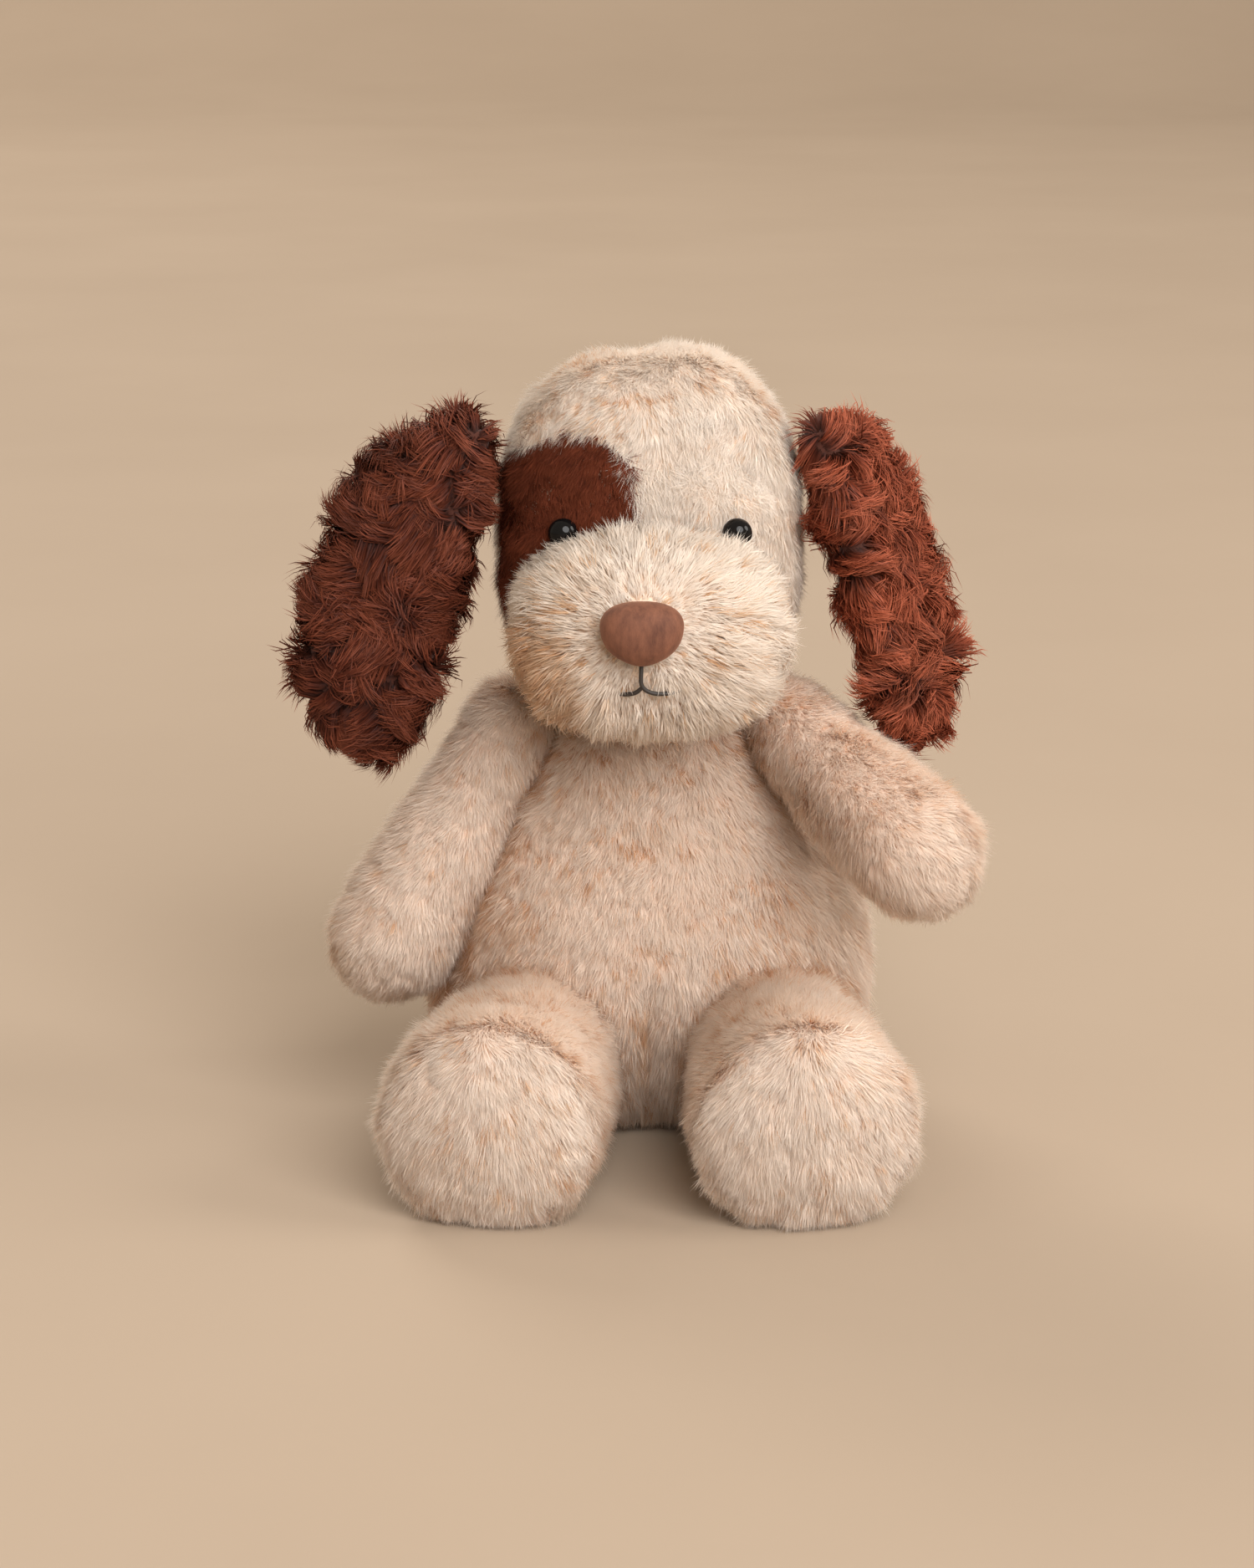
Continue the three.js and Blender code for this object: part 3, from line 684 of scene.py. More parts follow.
def limb_outline(root, end, length, dome):
    """The outline of a limb with a round root and a domed end, in millimetres."""
    root, end, length = root - SINK, end - SINK, length - SINK
    points = [(0, -root)]
    for degrees in (-65, -35, 0):
        a = math.radians(degrees)
        points.append((root * math.cos(a), root * math.sin(a)))
    for share in (0.33, 0.66):
        swell = share * share * (3 - 2 * share)
        points.append((root + (end - root) * swell, (length - dome) * share))
    for degrees in (0, 30, 60, 80):
        a = math.radians(degrees)
        points.append((end * math.cos(a), length - dome + dome * math.sin(a)))
    points.append((0, length))
    return points


# ---------------------------------------------------------------- torso


def torso_shape(p):
    """The pear is flatter front to back than it is wide, and its belly rolls forward over the legs."""
    up = smoothstep(p[:, 2], TORSO_TALL * 0.55, TORSO_TALL * 0.92)
    ratio = TORSO_FLAT + (CHEST_FLAT - TORSO_FLAT) * up
    out = p.copy()
    out[:, 1] = -p[:, 1] * ratio
    front = smoothstep(-out[:, 1], 5, 45)
    belly = np.exp(-(((p[:, 2] - 58) / 26) ** 2)) * np.exp(-((out[:, 0] / 48) ** 2))
    out[:, 1] -= 6 * belly * front
    return out


TORSO_OUTLINE = [
    (0, 2),
    (34, 2),
    (56, 5),
    (74, 17),
    (80.5, 46),
    (76, 84),
    (60.5, 110),
    (46, 134),
    (34, 149),
    (14, 153),
    (0, 153),
]
torso_skin = turned_skin(
    "torso_stuffed",
    TORSO_OUTLINE,
    at(0, torso_y, 0),
    (0, 0, 1),
    torso_shape,
    up=(0, 1, 0),
)
SIDE_SEAM = [(57, -8, 118), (62, -9, 96), (65, -8, 74), (60, -14, 58)]
BELLY_SEAM = [(-1, -26, 62), (0, -27, 44), (0, -24, 24), (0, -16, 8)]


def torso_held(points):
    p = dog_mm(points)
    top = smoothstep(p[:, 2], 138, 150)
    bottom = 1 - smoothstep(p[:, 2], 2, 8)
    return np.clip(top + bottom, 0, 1)


stuff(torso_skin, cap=0.0025, held=torso_held)
for side in (1, -1):
    press_seam(torso_skin, [(side * x, y, z) for x, y, z in SIDE_SEAM], 2.6, 5)
press_seam(torso_skin, BELLY_SEAM, 3.2, 5)
keep_off_floor(torso_skin)

# ---------------------------------------------------------------- arms and legs

arm_skin, leg_skin = {}, {}
for side in (1, -1):
    arm = turned_skin(
        f"arm_{side_name[side]}_stuffed",
        limb_outline(ARM_ROOT, ARM_END, ARM_LONG, ARM_END),
        at(*shoulder[side]),
        arm_toward[side],
    )
    arm_skin[side] = stuff(arm, cap=0.0018)
    leg = turned_skin(
        f"leg_{side_name[side]}_stuffed",
        limb_outline(LEG_ROOT, LEG_END, LEG_LONG, LEG_DOME),
        at(*hip[side]),
        leg_toward[side],
    )
    keep_off_floor(leg)
    leg_skin[side] = stuff(leg, cap=0.0018)
    keep_off_floor(leg_skin[side])

# ---------------------------------------------------------------- head


def head_shape(p):
    """Fuller cheeks, a crown with a shallow dip left of the middle."""
    out = p.copy()
    share = p[:, 2] / head_half[2]
    out[:, 0] *= 1.03 + 0.03 * smoothstep(-share, -0.4, 0.6) - 0.06 * smoothstep(share, 0.3, 1)
    dip = np.exp(-(((p[:, 0] + 6) / 9) ** 2)) * smoothstep(share, 0.6, 0.95)
    lobe = np.exp(-(((p[:, 0] - 18) / 20) ** 2)) * smoothstep(share, 0.6, 0.95)
    out[:, 2] += -1.5 * dip + 1.6 * lobe
    return out


head_skin = plump_skin("head_stuffed", head_centre, head_half, HEAD_FULL, head_shape)
stuff(head_skin, cap=0.0015)
muzzle_skin = plump_skin("muzzle_stuffed", muzzle_centre, muzzle_half, MUZZLE_FULL)
stuff(muzzle_skin, cap=0.0012)

# ---------------------------------------------------------------- ears and tail


def copied_skin(name, *sources):
    """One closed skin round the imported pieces."""
    bm = bmesh.new()
    for source in sources:
        bm.from_mesh(nodes[source].data)
    bmesh.ops.remove_doubles(bm, verts=bm.verts, dist=1e-5)
    mesh = mesh_from(name, bm)
    mesh.materials.clear()
    return link(name, mesh)


EAR_SLIM = 0.0022  # how much the ears are drawn in before they are stuffed, in metres
ear_skin = {}
for side in (1, -1):
    which = side_name[side]
    ear = copied_skin(f"ear_{which}_stuffed", f"ear_{which}_front", f"ear_{which}_back")
    remesh(ear, 0.003)
    slim = places(ear.data) - normals_of(ear.data) * EAR_SLIM
    set_places(ear.data, slim)
    ear_skin[side] = stuff(ear, cap=0.001, voxel=0.004)

tail_skin = turned_skin(
    "tail_stuffed",
    [(0, -7), (6.5, -3), (7.5, 8), (9, 22), (9, 30), (6, 36), (0, 38)],
    at(*tail_at),
    tail_toward,
)
stuff(tail_skin, cap=0.001, voxel=0.004)

neck_skin = copied_skin("neck_stuffed", "neck_filling")
stuff(neck_skin, cap=0.0008, voxel=0.004)

# ---------------------------------------------------------------- what the pile keeps clear of

def on_torso(points, normals):
    p = dog_mm(points)
    fine = p[:, 2] > 1.6
    fine &= ~((normals[:, 2] < -0.75) & (p[:, 2] < 8))
    fine &= np.linalg.norm(p - neck_at, axis=1) > 24
    for side in (1, -1):
        under_arm = limb_depth(points, shoulder[side], arm_toward[side], *ARM_SIZE)[0] < -5
        fine &= ~(under_arm & (np.linalg.norm(p - shoulder[side], axis=1) < 20))
        fine &= limb_depth(points, hip[side], leg_toward[side], *LEG_SIZE)[0] > -5
    return fine


def off_torso(points):
    """How far a point lies outside the torso, roughly, in millimetres."""
    p = dog_mm(points)
    z = np.array((0, 17, 46, 84, 110, 134, 149, 154))
    r = np.array((56, 74, 80.5, 76, 60.5, 46, 34, 10))
    reach = np.interp(p[:, 2], z, r)
    out = np.hypot(p[:, 0], (p[:, 1] - torso_y) / TORSO_FLAT) - reach
    return np.where(p[:, 2] > TORSO_TALL + 2, 30, out)


def on_arm(points, normals):
    return (off_torso(points) > -9) & (plump_depth(points, head_centre, head_half - 3) > 1)


def on_leg(side):
    def keep(points, normals):
        p = dog_mm(points)
        fine = off_torso(points) > -5
        fine &= ~((normals[:, 2] < -0.8) & (p[:, 2] < 6))
        other = limb_depth(points, hip[-side], leg_toward[-side], *LEG_SIZE)[0]
        return fine & (other > -4)

    return keep


PATCH_X = np.array((-62, -53, -46, -38, -30, -22, -15, -9, -7.5, -6, -3, 0.5, 3))
PATCH_TOP = np.array((214, 240, 252, 257.5, 260.5, 261.5, 260.5, 254, 247, 238, 231, 227, 223))


def in_patch(p):
    """The patch from the front, in millimetres: its top is round and a tip runs to the middle."""
    x, z = p[:, 0], p[:, 2]
    top = np.interp(x, PATCH_X, PATCH_TOP)
    return (x < PATCH_X[-1]) & (z < top) & (p[:, 1] < 6) & (x > -60)


def near_eye(p, reach):
    return np.hypot(np.abs(p[:, 0]) - eye_x, p[:, 2] - eye_z) < reach


def on_head(points, normals):
    p = dog_mm(points)
    fine = plump_depth(points, muzzle_centre, muzzle_half - 3) > 1
    fine &= ~(near_eye(p, 4.6) & (p[:, 1] < 0))
    fine &= ~((np.linalg.norm(p - neck_at, axis=1) < 20) & (normals[:, 2] < 0))
    return fine


patch_wave = Ripple(5, 0.012)


def wavy_patch(points):
    p = dog_mm(points)
    p[:, 2] += patch_wave(points) * 0.8
    return in_patch(p)


def on_cream(points, normals):
    return on_head(points, normals) & ~wavy_patch(points)


def on_patch(points, normals):
    return on_head(points, normals) & wavy_patch(points)


def on_muzzle(points, normals):
    p = dog_mm(points)
    fine = plump_depth(points, head_centre, head_half - 4, HEAD_FULL) > 1
    q = (p - nose_at) / np.array((11, 20, 8.5))
    return fine & ((q**2).sum(1) > 1) & (p[:, 1] < 10)


# ---------------------------------------------------------------- how the nap lies

drift = [Ripple(seed, 0.035) for seed in (11, 12, 13)]


def drifting(points, amount):
    return amount * np.stack([f(points) for f in drift], 1)


def torso_nap(points, normals):
    p = dog_mm(points)
    way = np.zeros_like(p)
    way[:, 2] = -1
    way[:, 0] = 0.12 * np.sign(p[:, 0]) * smoothstep(np.abs(p[:, 0]), 5, 50)
    return way + drifting(points, 0.2)


def head_nap(points, normals):
    p = dog_mm(points)
    way = (p - np.array((2, 62, 300))) * np.array((0.55, 1, 1))
    return unit(way) + drifting(points, 0.4)


def muzzle_nap(points, normals):
    p = dog_mm(points)
    way = unit(p - nose_at - np.array((0, -6, -2)))
    way[:, 2] -= 0.15
    return way + drifting(points, 0.12)


def arm_nap(side):
    def nap(points, normals):
        way = unit(arm_toward[side]) + np.array((0, 0, -0.45))
        return np.tile(way, (len(points), 1)) + drifting(points, 0.25)

    return nap


def leg_nap(side):
    def nap(points, normals):
        along = limb_depth(points, hip[side], leg_toward[side], *LEG_SIZE)[1]
        sole = smoothstep(along, 92, 108)[:, None]
        way = unit(leg_toward[side]) + np.array((0, 0, -0.5))
        top = hip[side] + leg_toward[side] * 100 + np.array((0, 0, 30.0))
        flow = 0.8 * unit(dog_mm(points) - top) + np.array((0.1, 0, -0.8))
        return way * (1 - sole) + flow * sole + drifting(points, 0.25)

    return nap


def tail_nap(points, normals):
    tip = smoothstep(dog_mm(points)[:, 1], 104, 118)[:, None]
    return tail_toward * (1 - tip) + np.array((0.2, 0.1, -1)) * tip + drifting(points, 0.3)


def ear_nap(side):
    def nap(points, normals):
        way = np.array((side * 0.35, 0, -1.0))
        return np.tile(way, (len(points), 1)) + drifting(points, 0.5)

    return nap


def even(mm):
    return lambda points: np.full(len(points), float(mm))


thick_thin = Ripple(31, 0.018)


def muzzle_length(points):
    """Long all round, and cropped beside the nose and the mouth."""
    p = dog_mm(points)
    nose_gap = np.hypot((p[:, 0] + 3) / 15, (p[:, 2] - 200) / 12)
    mouth_gap = np.hypot(np.maximum(np.abs(p[:, 0]) - 8, 0), p[:, 2] - 178)
    mouth_gap = np.minimum(mouth_gap, np.hypot(p[:, 0] + 3, np.maximum(np.abs(p[:, 2] - 184) - 6, 0)))
    crop = 0.45 + 0.55 * smoothstep(nose_gap, 0.9, 1.7)
    crop *= 0.4 + 0.6 * smoothstep(mouth_gap, 1, 6)
    return 11.5 * crop * (1 + 0.15 * thick_thin(points))


def varied(mm, amount=0.15):
    return lambda points: mm * (1 + amount * thick_thin(points))


# ---------------------------------------------------------------- grow it all


def dress(skin, body, slot, material, *replaced):
    skin.data.materials.clear()
    skin.data.materials.append(material)
    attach(skin, body)
    if replaced:
        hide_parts(*replaced)


dress(torso_skin, "torso", "body_plush", beige_back, "torso_cover")
dress(head_skin, "head", "head_plush", cream_back, "head_cover", "eye_patch")
dress(muzzle_skin, "head", "head_plush", cream_back, "muzzle_cover")
dress(tail_skin, "tail", "body_plush", beige_back, "tail_cover")
dress(neck_skin, "neck", "body_plush", beige_back, "neck_filling")
for side in (1, -1):
    which = side_name[side]
    dress(arm_skin[side], f"arm_{which}", "body_plush", beige_back, f"arm_{which}_cover")
    dress(
        leg_skin[side], f"leg_{which}", "body_plush", beige_back, f"leg_{which}_cover", f"foot_{which}_sole"
    )
    dress(
        ear_skin[side], f"ear_{which}", "ear_plush", brown_back, f"ear_{which}_front", f"ear_{which}_back"
    )

bloom = Ripple(42, 0.045)


def join_gap(part, side=0):
    """How many millimetres a point of a skin lies from the pieces that press on it."""

    def limb_gap(points, which):
        arm_gap = limb_depth(points, shoulder[which], arm_toward[which], *ARM_SIZE)[0]
        leg_gap = limb_depth(points, hip[which], leg_toward[which], *LEG_SIZE)[0]
        return arm_gap, leg_gap

    def head_gap(points):
        middling_half = 45
        return middling_half * (plump_depth(points, head_centre, head_half) ** (1 / HEAD_REACH_FULL) - 1)

    def gap(points):
        if part == "torso":
            return np.minimum.reduce([*limb_gap(points, 1), *limb_gap(points, -1), head_gap(points)])
        if part == "arm":
            return np.minimum.reduce([off_torso(points), head_gap(points), limb_gap(points, side)[1]])
        if part == "leg":
            other = limb_gap(points, -side)[1]
            return np.minimum.reduce([off_torso(points), other, limb_gap(points, side)[0]])
        return np.full(len(points), 99.0)

    return gap


def fleck_tint(seed, part, side=0, pale=0.0, often=0.05, grain=1.7):
    """Small rusty flecks where the pile parts, thicker in some places and wherever two pieces press. Where
    two pieces press, the pile is also darkened: painted shade in the crease.
    """
    gap = join_gap(part, side)

    def tint(points, normals):
        chance = per_tuft(tuft_centres(points, grain * MM, seed)[1], seed, 1)[:, 0] * 0.5 + 0.5
        # How near a join a point lies: it thickens the flecks there and darkens the pile as painted shade
        # in the crease.
        crease_flecks_and_shade = 1 - smoothstep(gap(points), -2, 11)
        worn = smoothstep(bloom(points), -0.3, 1.6)
        rate = often + 0.16 * worn + 0.3 * crease_flecks_and_shade
        return pale - 0.42 * (chance < rate) - 0.24 * crease_flecks_and_shade - 0.06 * worn

    return tint


def muzzle_tint(points, normals):
    """The muzzle's right side is darkened as painted shade, turned from the light, and some tan shows
    through there too; its lowest part is lightened a little as painted light.
    """
    p = dog_mm(points)
    shaded_cheek = smoothstep(-p[:, 0], 8, 30) * (1 - smoothstep(p[:, 2], 190, 208))
    chin_painted_light = 1 - smoothstep(p[:, 2], 164, 174)
    # Painted shade on the right side, and a little painted light low on the muzzle.
    return fleck_tint(206, "head", often=0.03)(points, normals) - 0.34 * shaded_cheek + 0.04 * chin_painted_light


def belly_tint(points, normals):
    """The belly shows the sewn line under it, from the navel down. Its right side is darkened as painted
    shade, the side turned from the light.
    """
    p = dog_mm(points)
    seam = np.exp(-(((p[:, 0] + 1) / 2.6) ** 2)) * (1 - smoothstep(p[:, 2], 52, 64))
    # Painted shade on the torso's right side, turned from the light.
    shaded_flank = smoothstep(-p[:, 0], 20, 60)
    return fleck_tint(201, "torso")(points, normals) - 0.35 * seam - 0.14 * shaded_flank


def ear_tint(seed, pale):
    """Every lock is a little lighter or darker than the next. pale lifts or darkens the whole ear: painted
    light on the dog's left ear, painted shade on its right.
    """

    def tint(points, normals):
        lock = per_tuft(tuft_centres(points, 5 * MM, seed)[1], seed, 1)[:, 0]
        return 0.24 * lock + 0.1 * bloom(points) + pale

    return tint


def half_of(keep, test):
    return lambda points, normals: keep(points, normals) & test(dog_mm(points))


ON_HEAD = dict(lean=(77, 77))
ON_MUZZLE = dict(steps=2, wisp=3.6, lean=(38, 84), width=0.4)
EAR_LOCKS = dict(
    steps=3,
    lean=(34, 114),
    tuft=10.5,
    wisp=3,
    gather=0.3,
    mess=1.5,
    stray=0.3,
    loose=0.08,
    curl=1.4,
    fan=0.1,
    bunch=0.22,
    blunt=0.5,
)
# Painted light and shade: the dog's left ear is made paler as if lit, its right ear darker as if shaded.
EAR_PAINTED_LIGHT = {1: 0.36, -1: -0.32}  # the dog's left ear is the paler one

grow_pile(
    "torso_pile_front", torso_skin, "torso", "body_plush", beige_pile,
    180000, varied(8.5), torso_nap, 101,
    keep=half_of(on_torso, lambda p: p[:, 1] < torso_y), tint=belly_tint,
)
grow_pile(
    "torso_pile_back", torso_skin, "torso", "body_plush", beige_pile,
    170000, varied(8.5), torso_nap, 102,
    keep=half_of(on_torso, lambda p: p[:, 1] >= torso_y), tint=fleck_tint(202, "torso"),
)
grow_pile(
    "head_pile_front", head_skin, "head", "head_plush", cream_pile,
    125000, varied(8), head_nap, 103,
    keep=half_of(on_cream, lambda p: p[:, 1] < head_centre[1]),
    tint=fleck_tint(203, "head", pale=0.04, often=0.02), **ON_HEAD,
)
grow_pile(
    "head_pile_back", head_skin, "head", "head_plush", cream_pile,
    130000, varied(8), head_nap, 104,
    keep=half_of(on_cream, lambda p: p[:, 1] >= head_centre[1]),
    tint=fleck_tint(204, "head", pale=0.04, often=0.02), **ON_HEAD,
)
grow_pile(
    "eye_patch_pile", head_skin, "head", "patch_plush", patch_pile,
    45000, varied(7.5), head_nap, 105,
    keep=on_patch, tint=fleck_tint(205, "head", often=0.02),
)
grow_pile(
    "muzzle_pile", muzzle_skin, "head", "head_plush", muzzle_pile,
    60000, muzzle_length, muzzle_nap, 106,
    keep=on_muzzle, tint=muzzle_tint, **ON_MUZZLE,
)
for side in (1, -1):
    which = side_name[side]
    grow_pile(
        f"arm_{which}_pile", arm_skin[side], f"arm_{which}", "body_plush", beige_pile,
        120000, varied(8.5), arm_nap(side), 110 + side,
        keep=on_arm, tint=fleck_tint(210 + side, "arm", side, pale=0.1),
    )
    grow_pile(
        f"leg_{which}_pile", leg_skin[side], f"leg_{which}", "foot_plush", foot_pile,
        180000, varied(9.5), leg_nap(side), 120 + side,
        keep=on_leg(side), tint=fleck_tint(220 + side, "leg", side),
    )
    grow_pile(
        f"ear_{which}_pile", ear_skin[side], f"ear_{which}", "ear_plush", ear_pile,
        38000, varied(14, 0.3), ear_nap(side), 130 + side,
        tint=ear_tint(230 + side, EAR_PAINTED_LIGHT[side]), **EAR_LOCKS,
    )
grow_pile(
    "tail_pile", tail_skin, "tail", "body_plush", beige_pile,
    22000, varied(7.5), tail_nap, 140,
    tint=fleck_tint(240, "tail"),
)
grow_pile(
    "neck_pile", neck_skin, "neck", "body_plush", beige_pile,
    24000, varied(7.5), torso_nap, 141,
    keep=lambda points, normals: dog_mm(points)[:, 2] > 150, tint=fleck_tint(241, "neck"),
)

# ---------------------------------------------------------------- nose, mouth and eyes


def nose_shape(p):
    out = p.copy()
    out[:, 0] *= 1 + 0.13 * p[:, 2] / 10.5
    out[:, 2] -= 0.9 * np.exp(-((p[:, 0] / 6) ** 2)) * (p[:, 2] < 0)
    return out


def nose_material():
    mat, tree, shader = new_material("nose_velour")
    noise = noise_of(tree, 260, 6, stretch=(1, 1, 0.35))
    noise.inputs["Roughness"].default_value = 0.7
    two_tone(tree, shader, noise.outputs[0], linear(80, 43, 27), linear(122, 76, 54), end=0.72)
    add_bump(tree, shader, noise.outputs[0], 0.35, 0.0006)
    shader.inputs["Roughness"].default_value = 0.8
    shader.inputs["Sheen Weight"].default_value = 0.3
    shader.inputs["Sheen Roughness"].default_value = 0.4
    shader.inputs["Sheen Tint"].default_value = linear(214, 160, 130)
    return mat


nose_front = middle("nose_pad").y - ORIGIN.y
nose = plump_skin("nose", (-3, nose_front / MM - 1.5, 200), (14.0, 8.5, 10.5), 2.3, nose_shape)
shade_smooth(nose.data)
nose.data.materials.append(nose_material())
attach(nose, "head")
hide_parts("nose_pad")


def thread_material():
    mat, tree, shader = new_material("black_thread")
    place = tree.nodes.new("ShaderNodeTexCoord")
    wave = tree.nodes.new("ShaderNodeTexWave")
    wave.inputs["Scale"].default_value = 900
    wave.inputs["Distortion"].default_value = 2
    tree.links.new(place.outputs["Object"], wave.inputs["Vector"])
    two_tone(tree, shader, wave.outputs[1], linear(14, 11, 10), linear(58, 48, 42), 0, 1)
    shader.inputs["Roughness"].default_value = 0.6
    return mat


def muzzle_front(x, z, lift):
    """How far forward the muzzle's skin lies there, and lift more."""
    across, up = x / muzzle_half[0], (z - muzzle_centre[2]) / muzzle_half[2]
    used = abs(across) ** MUZZLE_FULL + abs(up) ** MUZZLE_FULL
    return muzzle_centre[1] - muzzle_half[1] * (1 - used) ** (1 / MUZZLE_FULL) - lift


def thread(name, stops, radius=0.75):
    """A sewn thread: a round section carried along a line of the dog's frame."""
    line = smooth_line([(x, muzzle_front(x, z, lift), z) for x, z, lift in stops], 28)
    bm = bmesh.new()
    rings = []
    for i, point in enumerate(line):
        ahead = Vector(line[min(i + 1, len(line) - 1)] - line[max(i - 1, 0)]).normalized()
        ring = bmesh.ops.create_circle(bm, segments=10, radius=radius * MM)["verts"]
        turn = Vector((0, 0, 1)).rotation_difference(ahead).to_matrix().to_4x4()
        bmesh.ops.transform(bm, matrix=Matrix.Translation(at(*point)) @ turn, verts=ring)
        rings.append(ring)
    for low, high in zip(rings, rings[1:]):
        edges = [e for e in bm.edges for ring in (low, high) if all(v in ring for v in e.verts)]
        bmesh.ops.bridge_loops(bm, edges=edges)
    for ring in (rings[0], rings[-1]):
        bmesh.ops.contextual_create(bm, geom=ring)
    bmesh.ops.recalc_face_normals(bm, faces=bm.faces)
    mesh = mesh_from(name, bm)
    shade_smooth(mesh)
    obj = link(name, mesh)
    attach(obj, "head")
    return obj


black_thread = thread_material()
# Places across, up and out from the muzzle's skin.
MOUTH = {
    "mouth_line": [
        (-3, 190, 2.5),
        (-3.2, 186, 4),
        (-3, 181, 4.4),
        (0, 178.4, 4.2),
        (5, 177.8, 3.6),
        (10, 178.4, 1),
    ],
    "mouth_line_right": [(-2.6, 180.4, 4), (-5, 178.2, 3.4), (-8, 177.2, 2.2), (-11, 177, 0.5)],
}
for name, stops in MOUTH.items():
    line = thread(name, stops)
    line.data.materials.append(black_thread)
    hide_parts("mouth_stitch")


def eye_material():
    mat, tree, shader = new_material("eye_plastic")
    noise = noise_of(tree, 120)
    two_tone(tree, shader, noise.outputs[0], (0.002, 0.002, 0.002, 1), (0.006, 0.005, 0.005, 1), 0, 1)
    shader.inputs["Roughness"].default_value = 0.04
    shader.inputs["Specular IOR Level"].default_value = 0.18
    return mat


EYE_RADIUS, EYE_FLAT, SHANK_RADIUS = 5.3, 0.85, 1.9
black_plastic = eye_material()
for side in (1, -1):
    which = side_name[side]
    low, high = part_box(f"eye_{which}")
    front = low.y
    bm = bmesh.new()
    bmesh.ops.create_uvsphere(bm, u_segments=40, v_segments=24, radius=EYE_RADIUS * MM)
    bmesh.ops.scale(bm, verts=bm.verts, vec=(1, EYE_FLAT, 1))
    deep = high.y - front
    shank = bmesh.ops.create_cone(
        bm,
        segments=24,
        radius1=SHANK_RADIUS * MM,
        radius2=SHANK_RADIUS * MM,
        depth=deep - 0.004,
        cap_ends=True,
    )["verts"]
    lie = Matrix.Rotation(math.radians(90), 4, "X")
    behind = Matrix.Translation((0, deep / 2 - 0.0025, 0))
    bmesh.ops.transform(bm, matrix=behind @ lie, verts=shank)
    mid = (low + high) / 2
    bmesh.ops.translate(bm, verts=bm.verts, vec=(mid.x, front + 0.0038, mid.z))
    mesh = mesh_from(f"eye_{which}_dome", bm)
    shade_smooth(mesh)
    eye = link(f"eye_{which}_dome", mesh)
    eye.data.materials.append(black_plastic)
    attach(eye, "head")
    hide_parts(f"eye_{which}")


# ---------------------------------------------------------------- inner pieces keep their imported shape


def plain_material(name, low, high, scale, rough, bump_height=0.0004, sheen=0.0):
    mat, tree, shader = new_material(name)
    noise = noise_of(tree, scale, 5)
    two_tone(tree, shader, noise.outputs[0], linear(*low), linear(*high))
    add_bump(tree, shader, noise.outputs[0], 0.4, bump_height)
    shader.inputs["Roughness"].default_value = rough
    shader.inputs["Sheen Weight"].default_value = sheen
    return mat


fibre_fill = plain_material("fibre_fill", (214, 210, 202), (248, 246, 241), 300, 0.95, 0.001, 0.3)
lining = plain_material("lining_cloth", (216, 212, 204), (238, 235, 229), 1400, 0.9)
satin = plain_material("satin_ribbon", (226, 221, 212), (246, 243, 237), 1800, 0.4, 0.0001, 0.3)
washer_plastic = plain_material("washer_plastic", (214, 212, 206), (236, 235, 230), 90, 0.35, 0.0001)
for name, node in nodes.items():
    if node.hide_render:
        continue
    finish = fibre_fill
    if name == "seat_pellet_bag":
        finish = lining
    elif name == "care_label":
        finish = satin
    elif name.startswith("eye_washer"):
        finish = washer_plastic
    for place in node.material_slots:
        place.material = finish

# ---------------------------------------------------------------- floor, light and camera


def floor_material():
    mat, tree, shader = new_material("warm_paper")
    noise = noise_of(tree, 3, 8)
    two_tone(tree, shader, noise.outputs[0], linear(162, 144, 125), linear(166, 148, 129))
    shader.inputs["Roughness"].default_value = 0.9
    return mat


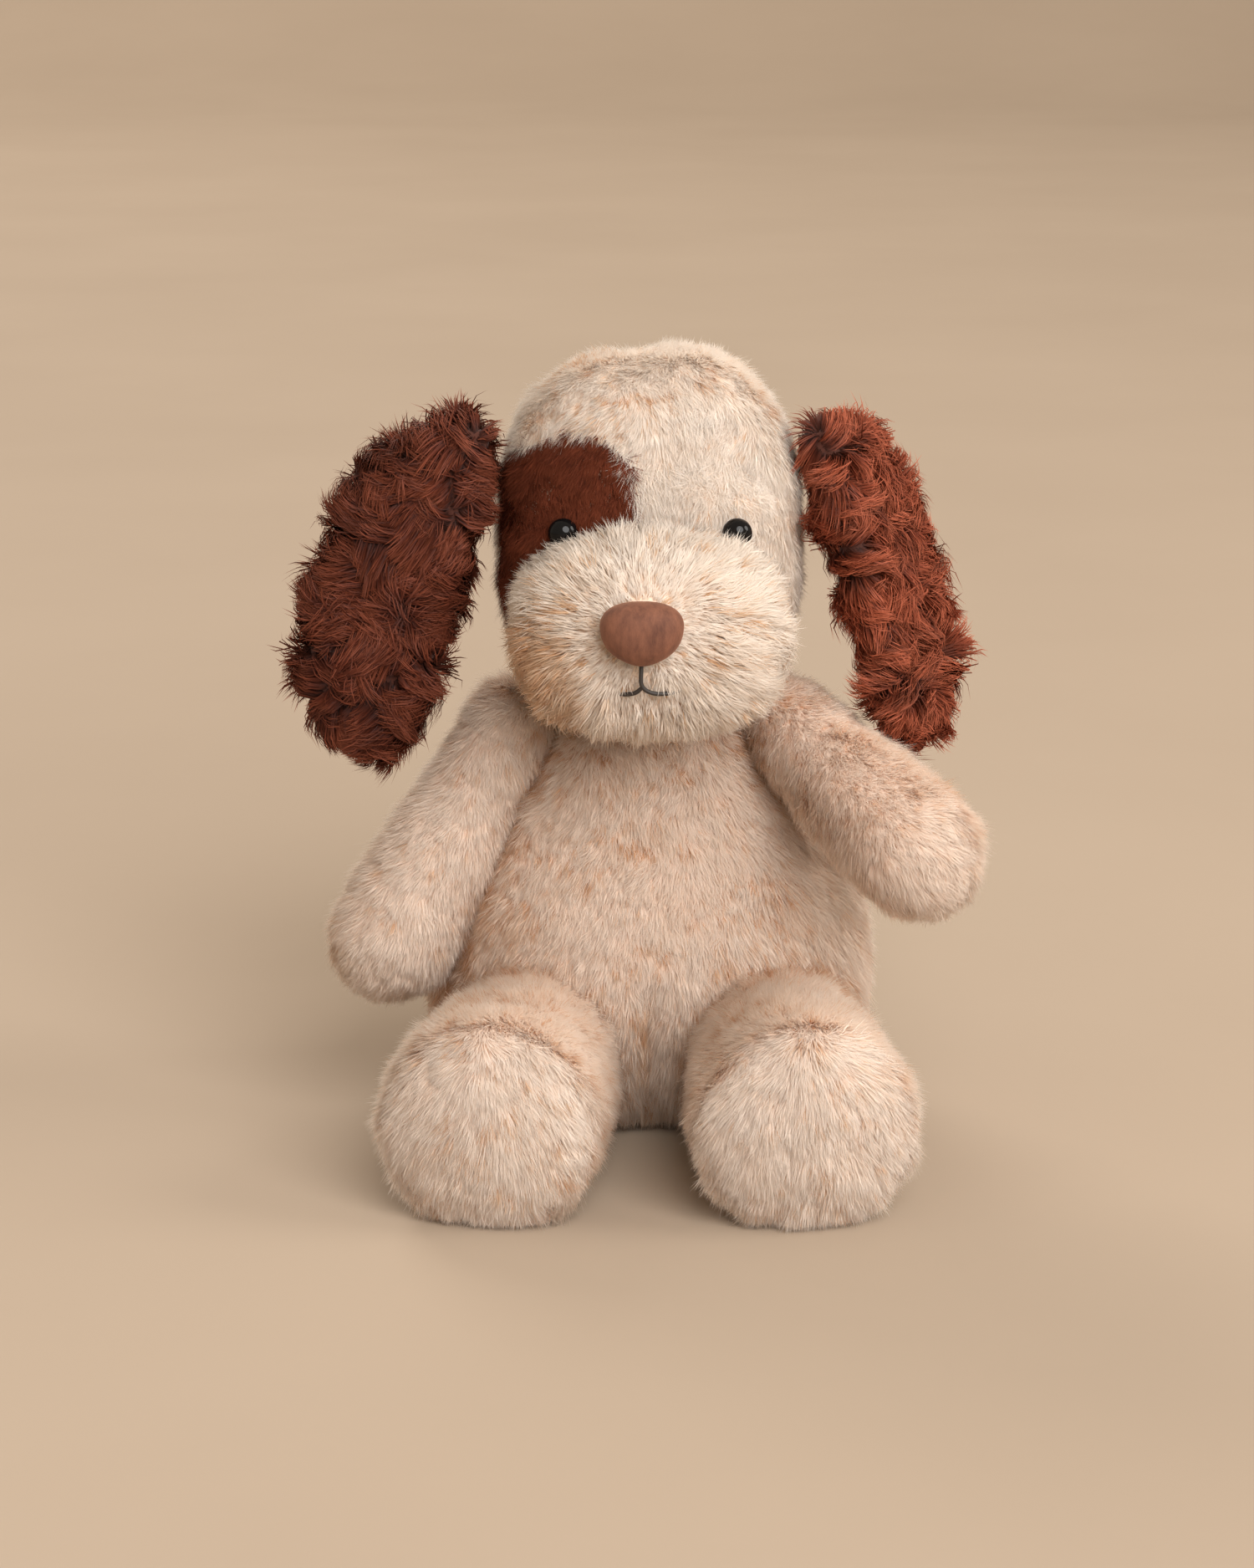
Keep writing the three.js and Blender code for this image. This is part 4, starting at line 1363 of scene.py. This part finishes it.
# The paper runs flat from the front, bends up behind the dog and goes on upright. All in metres.
PAPER_HALF_WIDE, PAPER_HALF_LONG, BEND_RADIUS, BEND_START = 9, 8, 2.0, 4.5
BEND_END = BEND_START + BEND_RADIUS * math.pi / 2
bm = bmesh.new()
bmesh.ops.create_grid(bm, x_segments=4, y_segments=90, size=1)
for v in bm.verts:
    run = v.co.y * PAPER_HALF_LONG
    x = v.co.x * PAPER_HALF_WIDE
    if run < BEND_START:
        v.co = (x, run, 0)
    elif run < BEND_END:
        a = (run - BEND_START) / BEND_RADIUS
        v.co = (x, BEND_START + BEND_RADIUS * math.sin(a), BEND_RADIUS * (1 - math.cos(a)))
    else:
        v.co = (x, BEND_START + BEND_RADIUS, BEND_RADIUS + run - BEND_END)
sweep_mesh = mesh_from("paper_sweep", bm)
shade_smooth(sweep_mesh)
sweep = link("paper_sweep", sweep_mesh)
sweep.data.materials.append(floor_material())


def soft_box(name, place, aim, size, power, colour):
    data = bpy.data.lights.new(name, "AREA")
    data.shape = "DISK"
    data.size = size
    data.energy = power
    data.color = colour
    obj = bpy.data.objects.new(name, data)
    bpy.context.scene.collection.objects.link(obj)
    obj.location = place
    obj.rotation_euler = (Vector(aim) - Vector(place)).to_track_quat("-Z", "Y").to_euler()


soft_box("window_light", (1.7, -4.4, 3.1), (0, 0, 0.12), 4.4, 432, (0.99, 0.98, 0.97))
soft_box("side_light", (4.4, -0.8, 2.6), (0, 0, 0.15), 2.4, 108, (1.0, 0.97, 0.92))
soft_box("back_light", (-2.4, 4.2, 3.6), (0, 0, 0.15), 3.0, 150, (1.0, 0.95, 0.88))
world = bpy.data.worlds.new("soft_room")
world.use_nodes = True
world.node_tree.nodes["Background"].inputs[0].default_value = (1.0, 0.87, 0.72, 1)
world.node_tree.nodes["Background"].inputs[1].default_value = 0.6
bpy.context.scene.world = world
bpy.context.scene.view_settings.view_transform = "Standard"

ELEVATION, DISTANCE = math.radians(15), 1.328
aim = at(-8, 0, 129)
camera_data = bpy.data.cameras.new("camera")
camera_data.lens = 85
camera_data.sensor_fit = "VERTICAL"
camera_data.sensor_height = 36
camera_data.clip_end = 20
camera = bpy.data.objects.new("camera", camera_data)
bpy.context.scene.collection.objects.link(camera)
camera.location = aim + Vector((0, -math.cos(ELEVATION), math.sin(ELEVATION))) * DISTANCE
camera.rotation_euler = (aim - camera.location).to_track_quat("-Z", "Y").to_euler()
bpy.context.scene.camera = camera
